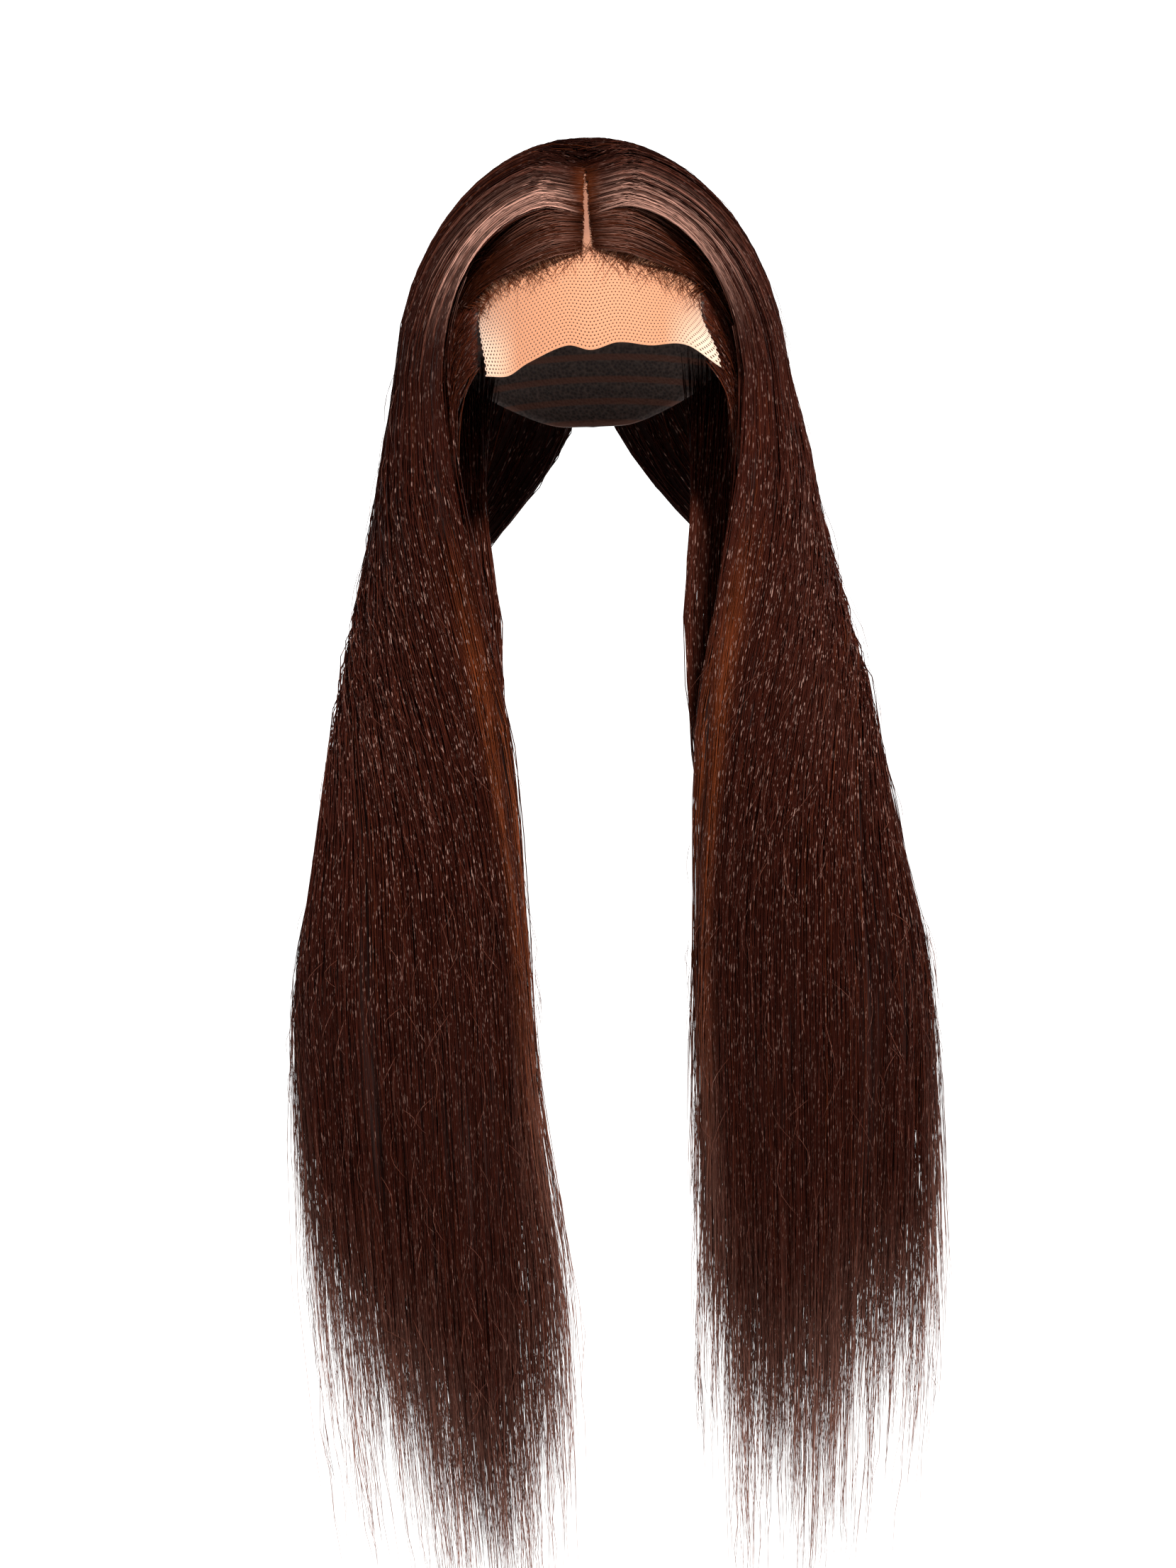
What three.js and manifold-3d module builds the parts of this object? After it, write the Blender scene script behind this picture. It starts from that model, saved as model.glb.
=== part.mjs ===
// A long straight wig in the form it has when worn: a net cap, a lace closure with a middle part, and
// hair that falls in two curtains in front of the shoulders.
// Millimetres and degrees, +Z up, the face opening towards -Y. The origin is the inside of the crown,
// where the top of the head meets the cap.

import * as THREE from "three";
import { mergeVertices } from "three/addons/utils/BufferGeometryUtils.js";
import Module from "manifold-3d";

const { degToRad, lerp, smoothstep } = THREE.MathUtils;

// The head dome inside the cap: half its width, half its depth, its height above its widest level.
const HEAD_HALF_WIDTH = 76;
const HEAD_HALF_DEPTH = 97;
const HEAD_HEIGHT = 100;

const CAP_WALL = 1.5;
const LACE_WALL = 1;
const FIT_GAP = 0.4;

// Rim of the cap, the same on both sides: its drop below the crown at each angle from the front.
const CAP_RIM = [
  { angle: 0, drop: 60 },
  { angle: 50, drop: 74 },
  { angle: 75, drop: 104 },
  { angle: 92, drop: 112 },
  { angle: 110, drop: 108 },
  { angle: 140, drop: 132 },
  { angle: 180, drop: 148 },
];

// Lace closure. Pitch runs forward from the crown down the forehead, across runs to each side.
const LACE_HALF_ACROSS = 46;
const LACE_BACK_PITCH = -9;

// Free front edge of the lace from the left corner to the right: its pitch, and how far it curls off.
const LACE_EDGE = [
  { across: -46, pitch: 86, flare: 9 },
  { across: -35, pitch: 86, flare: 3 },
  { across: -24, pitch: 82, flare: 0.5 },
  { across: -9, pitch: 77.5, flare: 0.2 },
  { across: 0, pitch: 79, flare: 0.9 },
  { across: 10, pitch: 77, flare: 0.2 },
  { across: 22, pitch: 78, flare: 0.8 },
  { across: 37, pitch: 78, flare: 3 },
  { across: 46, pitch: 86, flare: 12 },
];
const LACE_CURL_PITCH = 63;

// Brushed-back front hair on the lace: the hairline, and where the hair tucks in under the curtain.
const HAIRLINE = [
  { across: 1.2, front: 49.3, back: 40 },
  { across: 10, front: 52, back: 37 },
  { across: 20, front: 53.2, back: 35 },
  { across: 32, front: 54.5, back: 37 },
  { across: 40, front: 57, back: 43 },
  { across: 45, front: 60.5, back: 50 },
];
const HAIRLINE_EDGE = 1;
const HAIRLINE_BODY = 3.2;

// Hair lanes run from 0, the front edge of a curtain, to 1, the middle of the back. Their roots lie
// along the part and on down the back of the head.
const PART_FRONT_PITCH = 37;
const PART_LANE = 0.5;
const BACK_ROOT_PITCH = -62;
const PART_HALF_WIDTH = 1.3;
const TEMPLE_ANGLE = 57;
const BACK_ANGLE = 179.7;
const SWOOP_LANE = 0.5;
const SWOOP = { back: 0.25, up: 0.23 };

// Hair thickness on the head, and how far the front of the curtain stands off the forehead.
const ROOT_SEAT = LACE_WALL + FIT_GAP;
const HAIR_SEAT = 3.1;
const CROWN_HAIR = 8.5;
const SIDE_HAIR = 18.5;
const ROOT_HAIR = 0.28;
const ROOT_RISE = 0.12;
const CURTAIN_LIFT = 7;
const LIFT_LANE = 0.25;

// Level sections of one side below the widest part of the head: an arc of an ellipse from the front
// lane to the back lane, and the thickness of the hair there.
const SIDE_SEAT = HAIR_SEAT + SIDE_HAIR / 2;
const SECTIONS = [
  {
    z: -HEAD_HEIGHT,
    centreX: 0,
    centreY: 0,
    halfX: HEAD_HALF_WIDTH + SIDE_SEAT,
    halfY: HEAD_HALF_DEPTH + SIDE_SEAT,
    front: TEMPLE_ANGLE,
    back: BACK_ANGLE,
    thick: SIDE_HAIR,
  },
  { z: -150, centreX: 3, centreY: 1, halfX: 95, halfY: 107, front: 45, back: 177, thick: 20 },
  { z: -200, centreX: 22, centreY: -6, halfX: 85, halfY: 76, front: 27, back: 160, thick: 22 },
  { z: -240, centreX: 44, centreY: -17, halfX: 72, halfY: 61, front: 7, back: 130, thick: 25 },
  { z: -280, centreX: 68, centreY: -33, halfX: 57, halfY: 45, front: -22, back: 99, thick: 29 },
  { z: -330, centreX: 87, centreY: -48, halfX: 55, halfY: 33, front: -49, back: 74, thick: 33 },
  { z: -400, centreX: 99, centreY: -56, halfX: 61, halfY: 26, front: -64, back: 67, thick: 34 },
  { z: -500, centreX: 99, centreY: -58, halfX: 62, halfY: 21, front: -65, back: 65, thick: 30 },
  { z: -620, centreX: 96, centreY: -58, halfX: 61, halfY: 18, front: -65, back: 62, thick: 22 },
  { z: -720, centreX: 90, centreY: -58, halfX: 54, halfY: 14, front: -65, back: 62, thick: 12 },
];
const EDGE_THIN = 0.3;
const EDGE_LANE = 0.18;

// Drop below the crown over which the two sides part from each other at the back of the neck.
const BACK_PARTS = { from: 160, to: 260 };

// Ends of the hair, by lane, on each side.
const LEFT_TIPS = [
  { lane: 0, z: -655 },
  { lane: 0.25, z: -706 },
  { lane: 0.5, z: -682 },
  { lane: 0.75, z: -650 },
  { lane: 1, z: -600 },
];
const RIGHT_TIPS = [
  { lane: 0, z: -668 },
  { lane: 0.2, z: -699 },
  { lane: 0.5, z: -684 },
  { lane: 0.75, z: -668 },
  { lane: 1, z: -625 },
];
const WEFT_SHORTER = 14;
const SHORT_LOCK = 24;

// Locks: each spans the same width of lane, with a groove to its neighbour, and parts from it above
// its own tip.
const LOCK_LANE = 0.1;
const LOCK_GROOVE = 0.15;
const DEEPEST_GROOVE = 0.4;
const CLOSURE_LOCKS = 6;
const WEFT_LOCKS = 10;
const SPLIT_Z = -545;
const TIP_TAPER = [0.9, 0.7, 0.4];
const HEAD_STEPS = 8;

// The closure hair lies over the weft hair. The weft hair starts at the side of the lace, and behind
// the lace it starts at the middle of the back.
const CLOSURE_SHARE = 0.5;
const THIN_LOCK = 0.8;
const LAYER_LANES = [0.42, 0.6];
const FULL_WEFT_LANE = 0.63;
const LACE_SIDE_LEVEL = 0.5;
const BACK_LEVEL = 0;
const WEFT_ROOT = 0.3;
const WEFT_START = 0.15;
const OVERLAP = { begins: 0.25, ends: 0.1 };
const HEAD_LAYER_GAP = 1.3;
const FALL_LAYER_GAP = 0.5;
const GAP_NARROWS = 0.92;

const HEAD = new THREE.Vector3(HEAD_HALF_WIDTH, HEAD_HALF_DEPTH, HEAD_HEIGHT);
const wasm = await Module();
wasm.setup();

// Smooth value of one column of a table at a place along its key column.
function tableAt(rows, key, column, place) {
  const rising = rows[rows.length - 1][key] > rows[0][key] ? 1 : -1;
  let i = 0;
  while (i < rows.length - 2 && rising * (place - rows[i + 1][key]) > 0) i += 1;
  const slope = (a, b) => (rows[b][column] - rows[a][column]) / (rows[b][key] - rows[a][key]);
  const tangent = (k) => slope(Math.max(k - 1, 0), Math.min(k + 1, rows.length - 1));
  const span = rows[i + 1][key] - rows[i][key];
  const t = THREE.MathUtils.clamp((place - rows[i][key]) / span, 0, 1);
  const start = rows[i][column];
  const end = rows[i + 1][column];
  const ease = t * t * (3 - 2 * t);
  const bend = span * t * (1 - t) * (tangent(i) * (1 - t) - tangent(i + 1) * t);
  return lerp(start, end, ease) + bend;
}

// Direction from the middle of the head for an angle across and a pitch.
function laceDirection(across, pitch) {
  const a = degToRad(across);
  const p = degToRad(pitch);
  return new THREE.Vector3(Math.sin(a), -Math.cos(a) * Math.sin(p), Math.cos(a) * Math.cos(p));
}

// Point a given distance outside the head dome.
function headPoint(direction, offset) {
  const half = HEAD.clone().addScalar(offset);
  return direction.clone().multiply(half).setZ(direction.z * half.z - HEAD.z);
}

// One closed body, gathered from points and faces.
class Body {
  constructor() {
    this.points = [];
    this.faces = [];
  }

  point(position) {
    return this.points.push(position) - 1;
  }

  quad(a, b, c, d) {
    this.faces.push([a, b, c], [a, c, d]);
  }

  // Joins two rows of points with a strip of faces.
  strip(rowA, rowB, closed = false) {
    const count = closed ? rowA.length : rowA.length - 1;
    for (let i = 0; i < count; i += 1) {
      const next = (i + 1) % rowA.length;
      this.quad(rowA[i], rowA[next], rowB[next], rowB[i]);
    }
  }

  // Geometry with its faces turned outwards.
  geometry() {
    const [points, faces] = [this.points, this.faces];
    const cross = new THREE.Vector3();
    const part = ([a, b, c]) => points[a].dot(cross.crossVectors(points[b], points[c]));
    const volume = faces.reduce((sum, face) => sum + part(face), 0);
    const index = faces.flatMap(([a, b, c]) => (volume > 0 ? [a, b, c] : [a, c, b]));
    const geometry = new THREE.BufferGeometry().setFromPoints(points);
    geometry.setIndex(index);
    return geometry;
  }
}

// Closed sheet between two grids of points with the same rows and columns.
function sheetBody(top, bottom) {
  const body = new Body();
  const [upper, lower] = [top, bottom].map((grid) => grid.map((row) => row.map((p) => body.point(p))));
  const last = upper.length - 1;
  for (let i = 0; i < last; i += 1) {
    body.strip(upper[i], upper[i + 1]);
    body.strip(lower[i + 1], lower[i]);
  }
  body.strip(lower[0], upper[0]);
  body.strip(upper[last], lower[last]);
  const side = (grid, end) => grid.map((row) => row.at(end));
  body.strip(side(upper, 0), side(lower, 0));
  body.strip(side(lower, -1), side(upper, -1));
  return body;
}

// Grid of points, rows by columns, with both counters running from 0 to 1.
function grid(rows, columns, place) {
  const row = (i) => Array.from({ length: columns + 1 }, (_, j) => place(i / rows, j / columns));
  return Array.from({ length: rows + 1 }, (_, i) => row(i));
}

function solid(geometry) {
  const bare = geometry.clone();
  bare.deleteAttribute("normal");
  bare.deleteAttribute("uv");
  const merged = mergeVertices(bare);
  const vertProperties = new Float32Array(merged.attributes.position.array);
  const triVerts = new Uint32Array(merged.index.array);
  return new wasm.Manifold(new wasm.Mesh({ numProp: 3, vertProperties, triVerts }));
}

function fromSolid(result) {
  const mesh = result.getMesh();
  const geometry = new THREE.BufferGeometry();
  geometry.setAttribute("position", new THREE.BufferAttribute(mesh.vertProperties, 3));
  geometry.setIndex(new THREE.BufferAttribute(mesh.triVerts, 1));
  return geometry;
}

// Cap: a dome wall cut off at the rim, with a notch for the closure.
function domeGeometry(offset) {
  const half = HEAD.clone().addScalar(offset);
  const dome = new THREE.SphereGeometry(1, 32, 22).rotateX(Math.PI / 2);
  return dome.scale(half.x, half.y, half.z).translate(0, 0, -HEAD.z);
}

function belowRimGeometry() {
  const [steps, inside, outside, floor] = [48, 40, 160, -320];
  const body = new Body();
  const ring = (radius, height) => {
    const place = (_, i) => {
      const turn = (360 * i) / steps;
      const angle = degToRad(turn);
      const z = height ?? -tableAt(CAP_RIM, "angle", "drop", Math.min(turn, 360 - turn));
      return body.point(new THREE.Vector3(radius * Math.sin(angle), -radius * Math.cos(angle), z));
    };
    return Array.from({ length: steps }, place);
  };
  const middle = body.point(new THREE.Vector3(0, 0, -CAP_RIM[2].drop));
  const base = body.point(new THREE.Vector3(0, 0, floor));
  const rings = [ring(inside), ring(outside), ring(outside, floor)];
  body.strip(rings[0], rings[1], true);
  body.strip(rings[1], rings[2], true);
  for (let i = 0; i < steps; i += 1) {
    const next = (i + 1) % steps;
    body.faces.push([middle, rings[0][next], rings[0][i]], [base, rings[2][i], rings[2][next]]);
  }
  return body.geometry();
}

function notchGeometry() {
  const [reach, depth, rows, columns] = [115, 40, 18, 12];
  const clear = FIT_GAP / degToRad(HEAD_HALF_WIDTH);
  const half = LACE_HALF_ACROSS + clear;
  const start = LACE_BACK_PITCH - clear;
  const place = (offset) => (i, j) =>
    headPoint(laceDirection(lerp(-half, half, j), lerp(start, reach, i)), offset);
  return sheetBody(grid(rows, columns, place(depth)), grid(rows, columns, place(-depth))).geometry();
}

function capGeometry() {
  const wall = solid(domeGeometry(CAP_WALL)).subtract(solid(domeGeometry(0)));
  const trimmed = wall.subtract(solid(belowRimGeometry()));
  return fromSolid(trimmed.subtract(solid(notchGeometry())));
}

// Lace closure: a thin panel from behind the crown to its free edge, with corners that curl outwards.
function laceGeometry() {
  const [rows, columns] = [16, 20];
  const place = (wall) => (i, j) => {
    const across = lerp(-LACE_HALF_ACROSS, LACE_HALF_ACROSS, j);
    const edge = tableAt(LACE_EDGE, "across", "pitch", across);
    const pitch = lerp(LACE_BACK_PITCH, edge, i);
    const curl = smoothstep(pitch, LACE_CURL_PITCH, edge);
    const flare = curl * tableAt(LACE_EDGE, "across", "flare", across);
    return headPoint(laceDirection(across, pitch), wall + flare);
  };
  return sheetBody(grid(rows, columns, place(LACE_WALL)), grid(rows, columns, place(0))).geometry();
}

// Brushed-back front hair: a thin pad that thickens from the hairline to where it tucks in.
function hairlineGeometry(side) {
  const [rows, columns] = [10, 4];
  const first = HAIRLINE[0].across;
  const last = HAIRLINE[HAIRLINE.length - 1].across;
  const seat = LACE_WALL + FIT_GAP;
  const place = (height) => (i, j) => {
    const across = lerp(first, last, i);
    const front = tableAt(HAIRLINE, "across", "front", across);
    const back = tableAt(HAIRLINE, "across", "back", across);
    const rise = height * lerp(HAIRLINE_EDGE, HAIRLINE_BODY, j);
    return headPoint(laceDirection(side * across, lerp(front, back, j)), seat + rise);
  };
  return sheetBody(grid(rows, columns, place(1)), grid(rows, columns, place(0))).geometry();
}

// Way of a lane over the head, from its root to the widest level, as a direction.
function laneDirection(lane, t) {
  const onPart = Math.min(lane / PART_LANE, 1);
  const onBack = Math.max((lane - PART_LANE) / (1 - PART_LANE), 0);
  const forward = lerp(PART_FRONT_PITCH, LACE_BACK_PITCH, onPart);
  const pitch = forward + (BACK_ROOT_PITCH - LACE_BACK_PITCH) * onBack;
  const across = THREE.MathUtils.radToDeg(PART_HALF_WIDTH / HEAD_HALF_WIDTH);
  const root = laceDirection(across, pitch);
  const angle = degToRad(lerp(TEMPLE_ANGLE, BACK_ANGLE, lane));
  const end = new THREE.Vector3(Math.sin(angle), -Math.cos(angle), 0);
  const swoop = Math.max(1 - lane / SWOOP_LANE, 0) ** 1.5;
  const middle = root.clone().add(end).divideScalar(1 + root.dot(end));
  middle.add(new THREE.Vector3(0, SWOOP.back, SWOOP.up).multiplyScalar(swoop));
  return new THREE.QuadraticBezierCurve3(root, middle, end).getPoint(t).normalize();
}

// Hair at a lane and a level: levels 0 to 1 are on the head, and below it the level is a height z.
// Gives the inner and outer distance of the hair and a function that places a distance.
function hairAt(lane, level) {
  const frontEdge = lerp(EDGE_THIN, 1, smoothstep(lane, 0, EDGE_LANE));
  const backEdge = lerp(EDGE_THIN, 1, smoothstep(1 - lane, 0, EDGE_LANE));
  if (level >= 0) {
    const direction = laneDirection(lane, level);
    const full = lerp(SIDE_HAIR, CROWN_HAIR, direction.z);
    const onBack = smoothstep(lane, PART_LANE, FULL_WEFT_LANE);
    const risen = smoothstep(level, 0, ROOT_RISE);
    const thick = full * lerp(ROOT_HAIR, 1, Math.max(risen, onBack));
    const offLace = smoothstep(lane, LAYER_LANES[0], PART_LANE);
    const seat = lerp(ROOT_SEAT, HAIR_SEAT, Math.max(risen, offLace));
    const lift = CURTAIN_LIFT * Math.sin(Math.PI * level) * Math.max(1 - lane / LIFT_LANE, 0) ** 2;
    const middle = seat + thick / 2 + lift;
    const half = (thick / 2) * frontEdge;
    return { inner: middle - half, outer: middle + half, place: (d) => headPoint(direction, d) };
  }
  const section = {};
  for (const column of Object.keys(SECTIONS[0])) section[column] = tableAt(SECTIONS, "z", column, level);
  const freeBack = lerp(1, backEdge, smoothstep(-level, BACK_PARTS.from, BACK_PARTS.to));
  const half = (section.thick / 2) * frontEdge * freeBack;
  const angle = degToRad(lerp(section.front, section.back, lane));
  const place = (d) =>
    new THREE.Vector3(
      section.centreX + (section.halfX + d) * Math.sin(angle),
      section.centreY - (section.halfY + d) * Math.cos(angle),
      level,
    );
  return { inner: -half, outer: half, place };
}

// Where the weft hair starts on a lane, as a level on the head.
function weftStart(lane) {
  return lerp(LACE_SIDE_LEVEL, BACK_LEVEL, smoothstep(lane, PART_LANE, FULL_WEFT_LANE));
}

// Border between the two layers: the underside of the closure hair and the top of the weft hair.
function layerBorder(lane, level, hair) {
  const onHead = level >= 0 ? 1 - smoothstep(level, GAP_NARROWS, 1) : 0;
  const gap = lerp(FALL_LAYER_GAP, HEAD_LAYER_GAP, onHead);
  const share = CLOSURE_SHARE * (1 - smoothstep(lane, ...LAYER_LANES));
  const cover = Math.max(THIN_LOCK, share * (hair.outer - hair.inner));
  return { closure: hair.outer - cover, weft: hair.outer - cover - gap };
}

// Depth of the groove between two locks: deepest at a lock's edges, none at its middle.
function grooveAt(column, hair) {
  const atEdge = column % 2 === 0 ? 1 : 0;
  return atEdge * LOCK_GROOVE * (hair.outer - hair.inner);
}

// Inner and outer faces of the closure hair at a lane column and a level.
function closureFaces(lane, level, column) {
  const hair = hairAt(lane, level);
  const border = layerBorder(lane, level, hair);
  const start = weftStart(lane);
  const over = level >= 0 ? smoothstep(level, start - OVERLAP.begins, start - OVERLAP.ends) : 1;
  const inner = Math.min(lerp(hair.inner, border.closure, over), hair.outer - THIN_LOCK);
  const groove = Math.min(grooveAt(column, hair), (hair.outer - inner) * DEEPEST_GROOVE);
  return { ...hair, inner, outer: hair.outer - groove };
}

// Inner and outer faces of the weft hair at a lane column and a level.
function weftFaces(lane, level, column) {
  const hair = hairAt(lane, level);
  const groove = grooveAt(column, hair);
  const covered = lane < CLOSURE_LOCKS * LOCK_LANE + LOCK_LANE / 4;
  const top = covered ? layerBorder(lane, level, hair).weft : hair.outer - groove;
  const start = weftStart(lane);
  const first = lerp(WEFT_ROOT, 1, smoothstep(lane, PART_LANE, FULL_WEFT_LANE));
  const grown = level >= 0 ? lerp(first, 1, smoothstep(level, start, start + WEFT_START)) : 1;
  const inner = hair.inner + (level < 0 ? groove : 0);
  return { ...hair, inner, outer: lerp(hair.inner, top, grown) };
}

// Levels of the fall: each section of the table and the middle between two, down to the split.
function fallLevels() {
  const levels = SECTIONS.flatMap((row, i) => (i ? [(row.z + SECTIONS[i - 1].z) / 2, row.z] : []));
  return [...levels.filter((z) => z > SPLIT_Z + 20), SPLIT_Z];
}

// One side's layer of hair: a backing that runs from the roots to the split, and a tapered end for
// each lock below it.
function hairGeometry(side, locks, faces, start, tipAt) {
  const body = new Body();
  const turn = (p) => p.setX(side * p.x);
  const lanes = Array.from({ length: 2 * locks + 1 }, (_, i) => (i * LOCK_LANE) / 2);
  const headLevels = (lane) =>
    Array.from({ length: HEAD_STEPS }, (_, j) => lerp(start(lane), 1, j / HEAD_STEPS));
  const columns = lanes.map((lane, i) => {
    const levels = [...headLevels(lane), 1, ...fallLevels()];
    return levels.map((level) => {
      const { inner, outer, place } = faces(lane, level, i);
      return { top: body.point(turn(place(outer))), bottom: body.point(turn(place(inner))) };
    });
  });
  const tops = columns.map((column) => column.map((node) => node.top));
  const bottoms = columns.map((column) => column.map((node) => node.bottom));
  const row = (grid, j) => grid.map((column) => column[j]);
  for (let i = 0; i < tops.length - 1; i += 1) body.strip(tops[i], tops[i + 1]);
  for (let j = 0; j < bottoms[0].length - 1; j += 1) body.strip(row(bottoms, j), row(bottoms, j + 1));
  body.strip(bottoms[0], tops[0]);
  body.strip(tops.at(-1), bottoms.at(-1));
  body.strip(row(tops, 0), row(bottoms, 0));

  for (let lock = 0; lock < locks; lock += 1) {
    const mine = [0, 1, 2].map((k) => 2 * lock + k);
    const middle = lanes[mine[1]];
    const tip = tipAt(middle) + (lock % 2) * SHORT_LOCK;
    const around = [...mine.map((i) => [i, "outer"]), ...mine.toReversed().map((i) => [i, "inner"])];
    let ring = around.map(([i, face]) => (face === "outer" ? tops : bottoms)[i].at(-1));
    TIP_TAPER.forEach((width, k) => {
      const level = lerp(SPLIT_Z, tip, (k + 1) / (TIP_TAPER.length + 1));
      const next = around.map(([i, face]) => {
        const hair = faces(lerp(middle, lanes[i], width), level, i);
        const depth = lerp((hair.inner + hair.outer) / 2, hair[face], width);
        return body.point(turn(hair.place(depth)));
      });
      body.strip(next, ring, true);
      ring = next;
    });
    const end = faces(middle, tip, 1);
    const point = body.point(turn(end.place((end.inner + end.outer) / 2)));
    ring.forEach((a, k) => body.faces.push([ring[(k + 1) % ring.length], a, point]));
  }
  return body.geometry();
}

function piece(name, geometry, color, roughness) {
  const material = new THREE.MeshStandardMaterial({ color, roughness, metalness: 0 });
  geometry.computeVertexNormals();
  const mesh = new THREE.Mesh(geometry, material);
  mesh.name = name;
  return mesh;
}

const HAIR_COLOUR = 0x33190f;
const HAIR_ROUGHNESS = 0.45;
const wig = new THREE.Group();
wig.add(piece("wig_cap", capGeometry(), 0x21140f, 0.85));
wig.add(piece("lace_closure", laceGeometry(), 0xd9a27c, 0.8));

const SIDES = [
  { name: "left", side: -1, tips: LEFT_TIPS },
  { name: "right", side: 1, tips: RIGHT_TIPS },
];
for (const { name, side, tips } of SIDES) {
  const tipAt = (lane) => tableAt(tips, "lane", "z", lane);
  const weftTip = (lane) => tipAt(lane) + WEFT_SHORTER;
  const closureHair = hairGeometry(side, CLOSURE_LOCKS, closureFaces, () => 0, tipAt);
  const weftHair = hairGeometry(side, WEFT_LOCKS, weftFaces, weftStart, weftTip);
  wig.add(piece(`hairline_hair_${name}`, hairlineGeometry(side), HAIR_COLOUR, HAIR_ROUGHNESS));
  wig.add(piece(`closure_hair_${name}`, closureHair, HAIR_COLOUR, HAIR_ROUGHNESS));
  wig.add(piece(`weft_hair_${name}`, weftHair, HAIR_COLOUR, HAIR_ROUGHNESS));
}

export default wig;
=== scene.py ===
"""Long straight wig on a net cap, with a lace closure and a middle part: strands, lace and cap."""
import math

import bpy
import numpy as np
from mathutils import Matrix, Vector


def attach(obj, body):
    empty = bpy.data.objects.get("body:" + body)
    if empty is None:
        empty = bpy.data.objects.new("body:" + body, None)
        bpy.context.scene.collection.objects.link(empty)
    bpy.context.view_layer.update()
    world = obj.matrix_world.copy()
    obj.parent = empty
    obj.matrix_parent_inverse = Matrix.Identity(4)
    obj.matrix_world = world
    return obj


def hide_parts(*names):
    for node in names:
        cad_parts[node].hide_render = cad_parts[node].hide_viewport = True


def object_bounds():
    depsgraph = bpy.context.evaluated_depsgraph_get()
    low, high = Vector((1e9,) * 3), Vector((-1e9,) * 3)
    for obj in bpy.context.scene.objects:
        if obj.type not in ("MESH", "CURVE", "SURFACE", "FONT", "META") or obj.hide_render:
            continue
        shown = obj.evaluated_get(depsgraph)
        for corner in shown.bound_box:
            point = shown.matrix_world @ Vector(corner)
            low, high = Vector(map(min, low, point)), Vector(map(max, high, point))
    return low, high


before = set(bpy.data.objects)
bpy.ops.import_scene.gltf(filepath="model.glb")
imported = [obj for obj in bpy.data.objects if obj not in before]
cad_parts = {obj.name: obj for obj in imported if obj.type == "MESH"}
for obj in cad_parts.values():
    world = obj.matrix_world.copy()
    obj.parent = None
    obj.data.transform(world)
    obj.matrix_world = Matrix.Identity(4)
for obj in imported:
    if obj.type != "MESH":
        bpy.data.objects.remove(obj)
cad_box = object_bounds()

MM = 0.001

# The head inside the cap, in millimetres, as in the frame: its widest level is HEAD[2] below the crown.
HEAD = np.array([76.0, 97.0, 100.0])
CAP_WALL = 1.5
CAP_FRONT = 50.0
NOTCH_GAP = 0.4
WEFT_ROW = 11.0
WEFT_RIB = 0.7
LACE_WALL = 1.0

CAP_RIM = {
    "angle": (0, 50, 75, 92, 110, 140, 162, 180),
    "drop": (60, 74, 104, 112, 108, 132, 145, 147),
}
LACE_HALF_ACROSS = 46.0
LACE_BACK_PITCH = -9.0
LACE_CURL_PITCH = 63.0
LACE_EDGE = {
    "across": (-46, -35, -24, -9, 0, 10, 22, 37, 46),
    "pitch": (86, 86, 82, 77.5, 79, 77, 78, 78, 86),
    "flare": (9, 3, 0.5, 0.2, 0.9, 0.2, 0.8, 3, 12),
}
HAIRLINE = {
    "across": (1.2, 10, 20, 32, 40, 45),
    "front": (49.3, 52, 53.2, 54.5, 57, 60.5),
    "back": (40, 37, 35, 37, 43, 50),
}

# Lanes of hair on one side: 0 is the front edge of the curtain, 1 the middle of the back.
PART_FRONT_PITCH = 37.0
PART_LANE = 0.5
CROWN_FILL = (0.34, 0.56)
BACK_ROOT_PITCH = -62.0
PART_HALF_WIDTH = 1.3
TEMPLE_ANGLE = 57.0
BACK_ANGLE = 179.7
SWOOP = np.array([0.0, 0.25, 0.23])
ROOT_SEAT = 1.4
HAIR_SEAT = 3.1
CROWN_HAIR = 8.5
SIDE_HAIR = 18.5
ROOT_HAIR = 0.28
ROOT_RISE = 0.12
FRONT_RISE = 0.20
CURTAIN_LIFT = 7.0
LIFT_LANE = 0.25
SIDE_SEAT = HAIR_SEAT + SIDE_HAIR / 2
SECTIONS = {
    "z": (-100, -150, -200, -240, -280, -330, -400, -500, -620, -720),
    "centre_x": (0, 3, 22, 44, 68, 87, 99, 99, 96, 90),
    "centre_y": (0, 1, -6, -17, -33, -48, -56, -58, -58, -58),
    "half_x": (HEAD[0] + SIDE_SEAT, 95, 85, 72, 57, 55, 61, 62, 61, 54),
    "half_y": (HEAD[1] + SIDE_SEAT, 107, 76, 61, 45, 33, 26, 21, 18, 14),
    "front": (TEMPLE_ANGLE, 45, 27, 7, -22, -49, -64, -65, -65, -65),
    "back": (BACK_ANGLE, 177, 160, 130, 99, 74, 67, 65, 62, 62),
    "thick": (SIDE_HAIR, 20, 22, 25, 29, 33, 34, 30, 22, 12),
}
EDGE_THIN = 0.3
EDGE_LANE = 0.18
BACK_PARTS = (160.0, 260.0)
SIDES = {"left": -1.0, "right": 1.0}
LEVEL_STEP = 100.0


def mix(a, b, t):
    return a + (b - a) * t


def ease(x, low, high):
    t = np.clip((x - low) / (high - low), 0.0, 1.0)
    return t * t * (3.0 - 2.0 * t)


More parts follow.
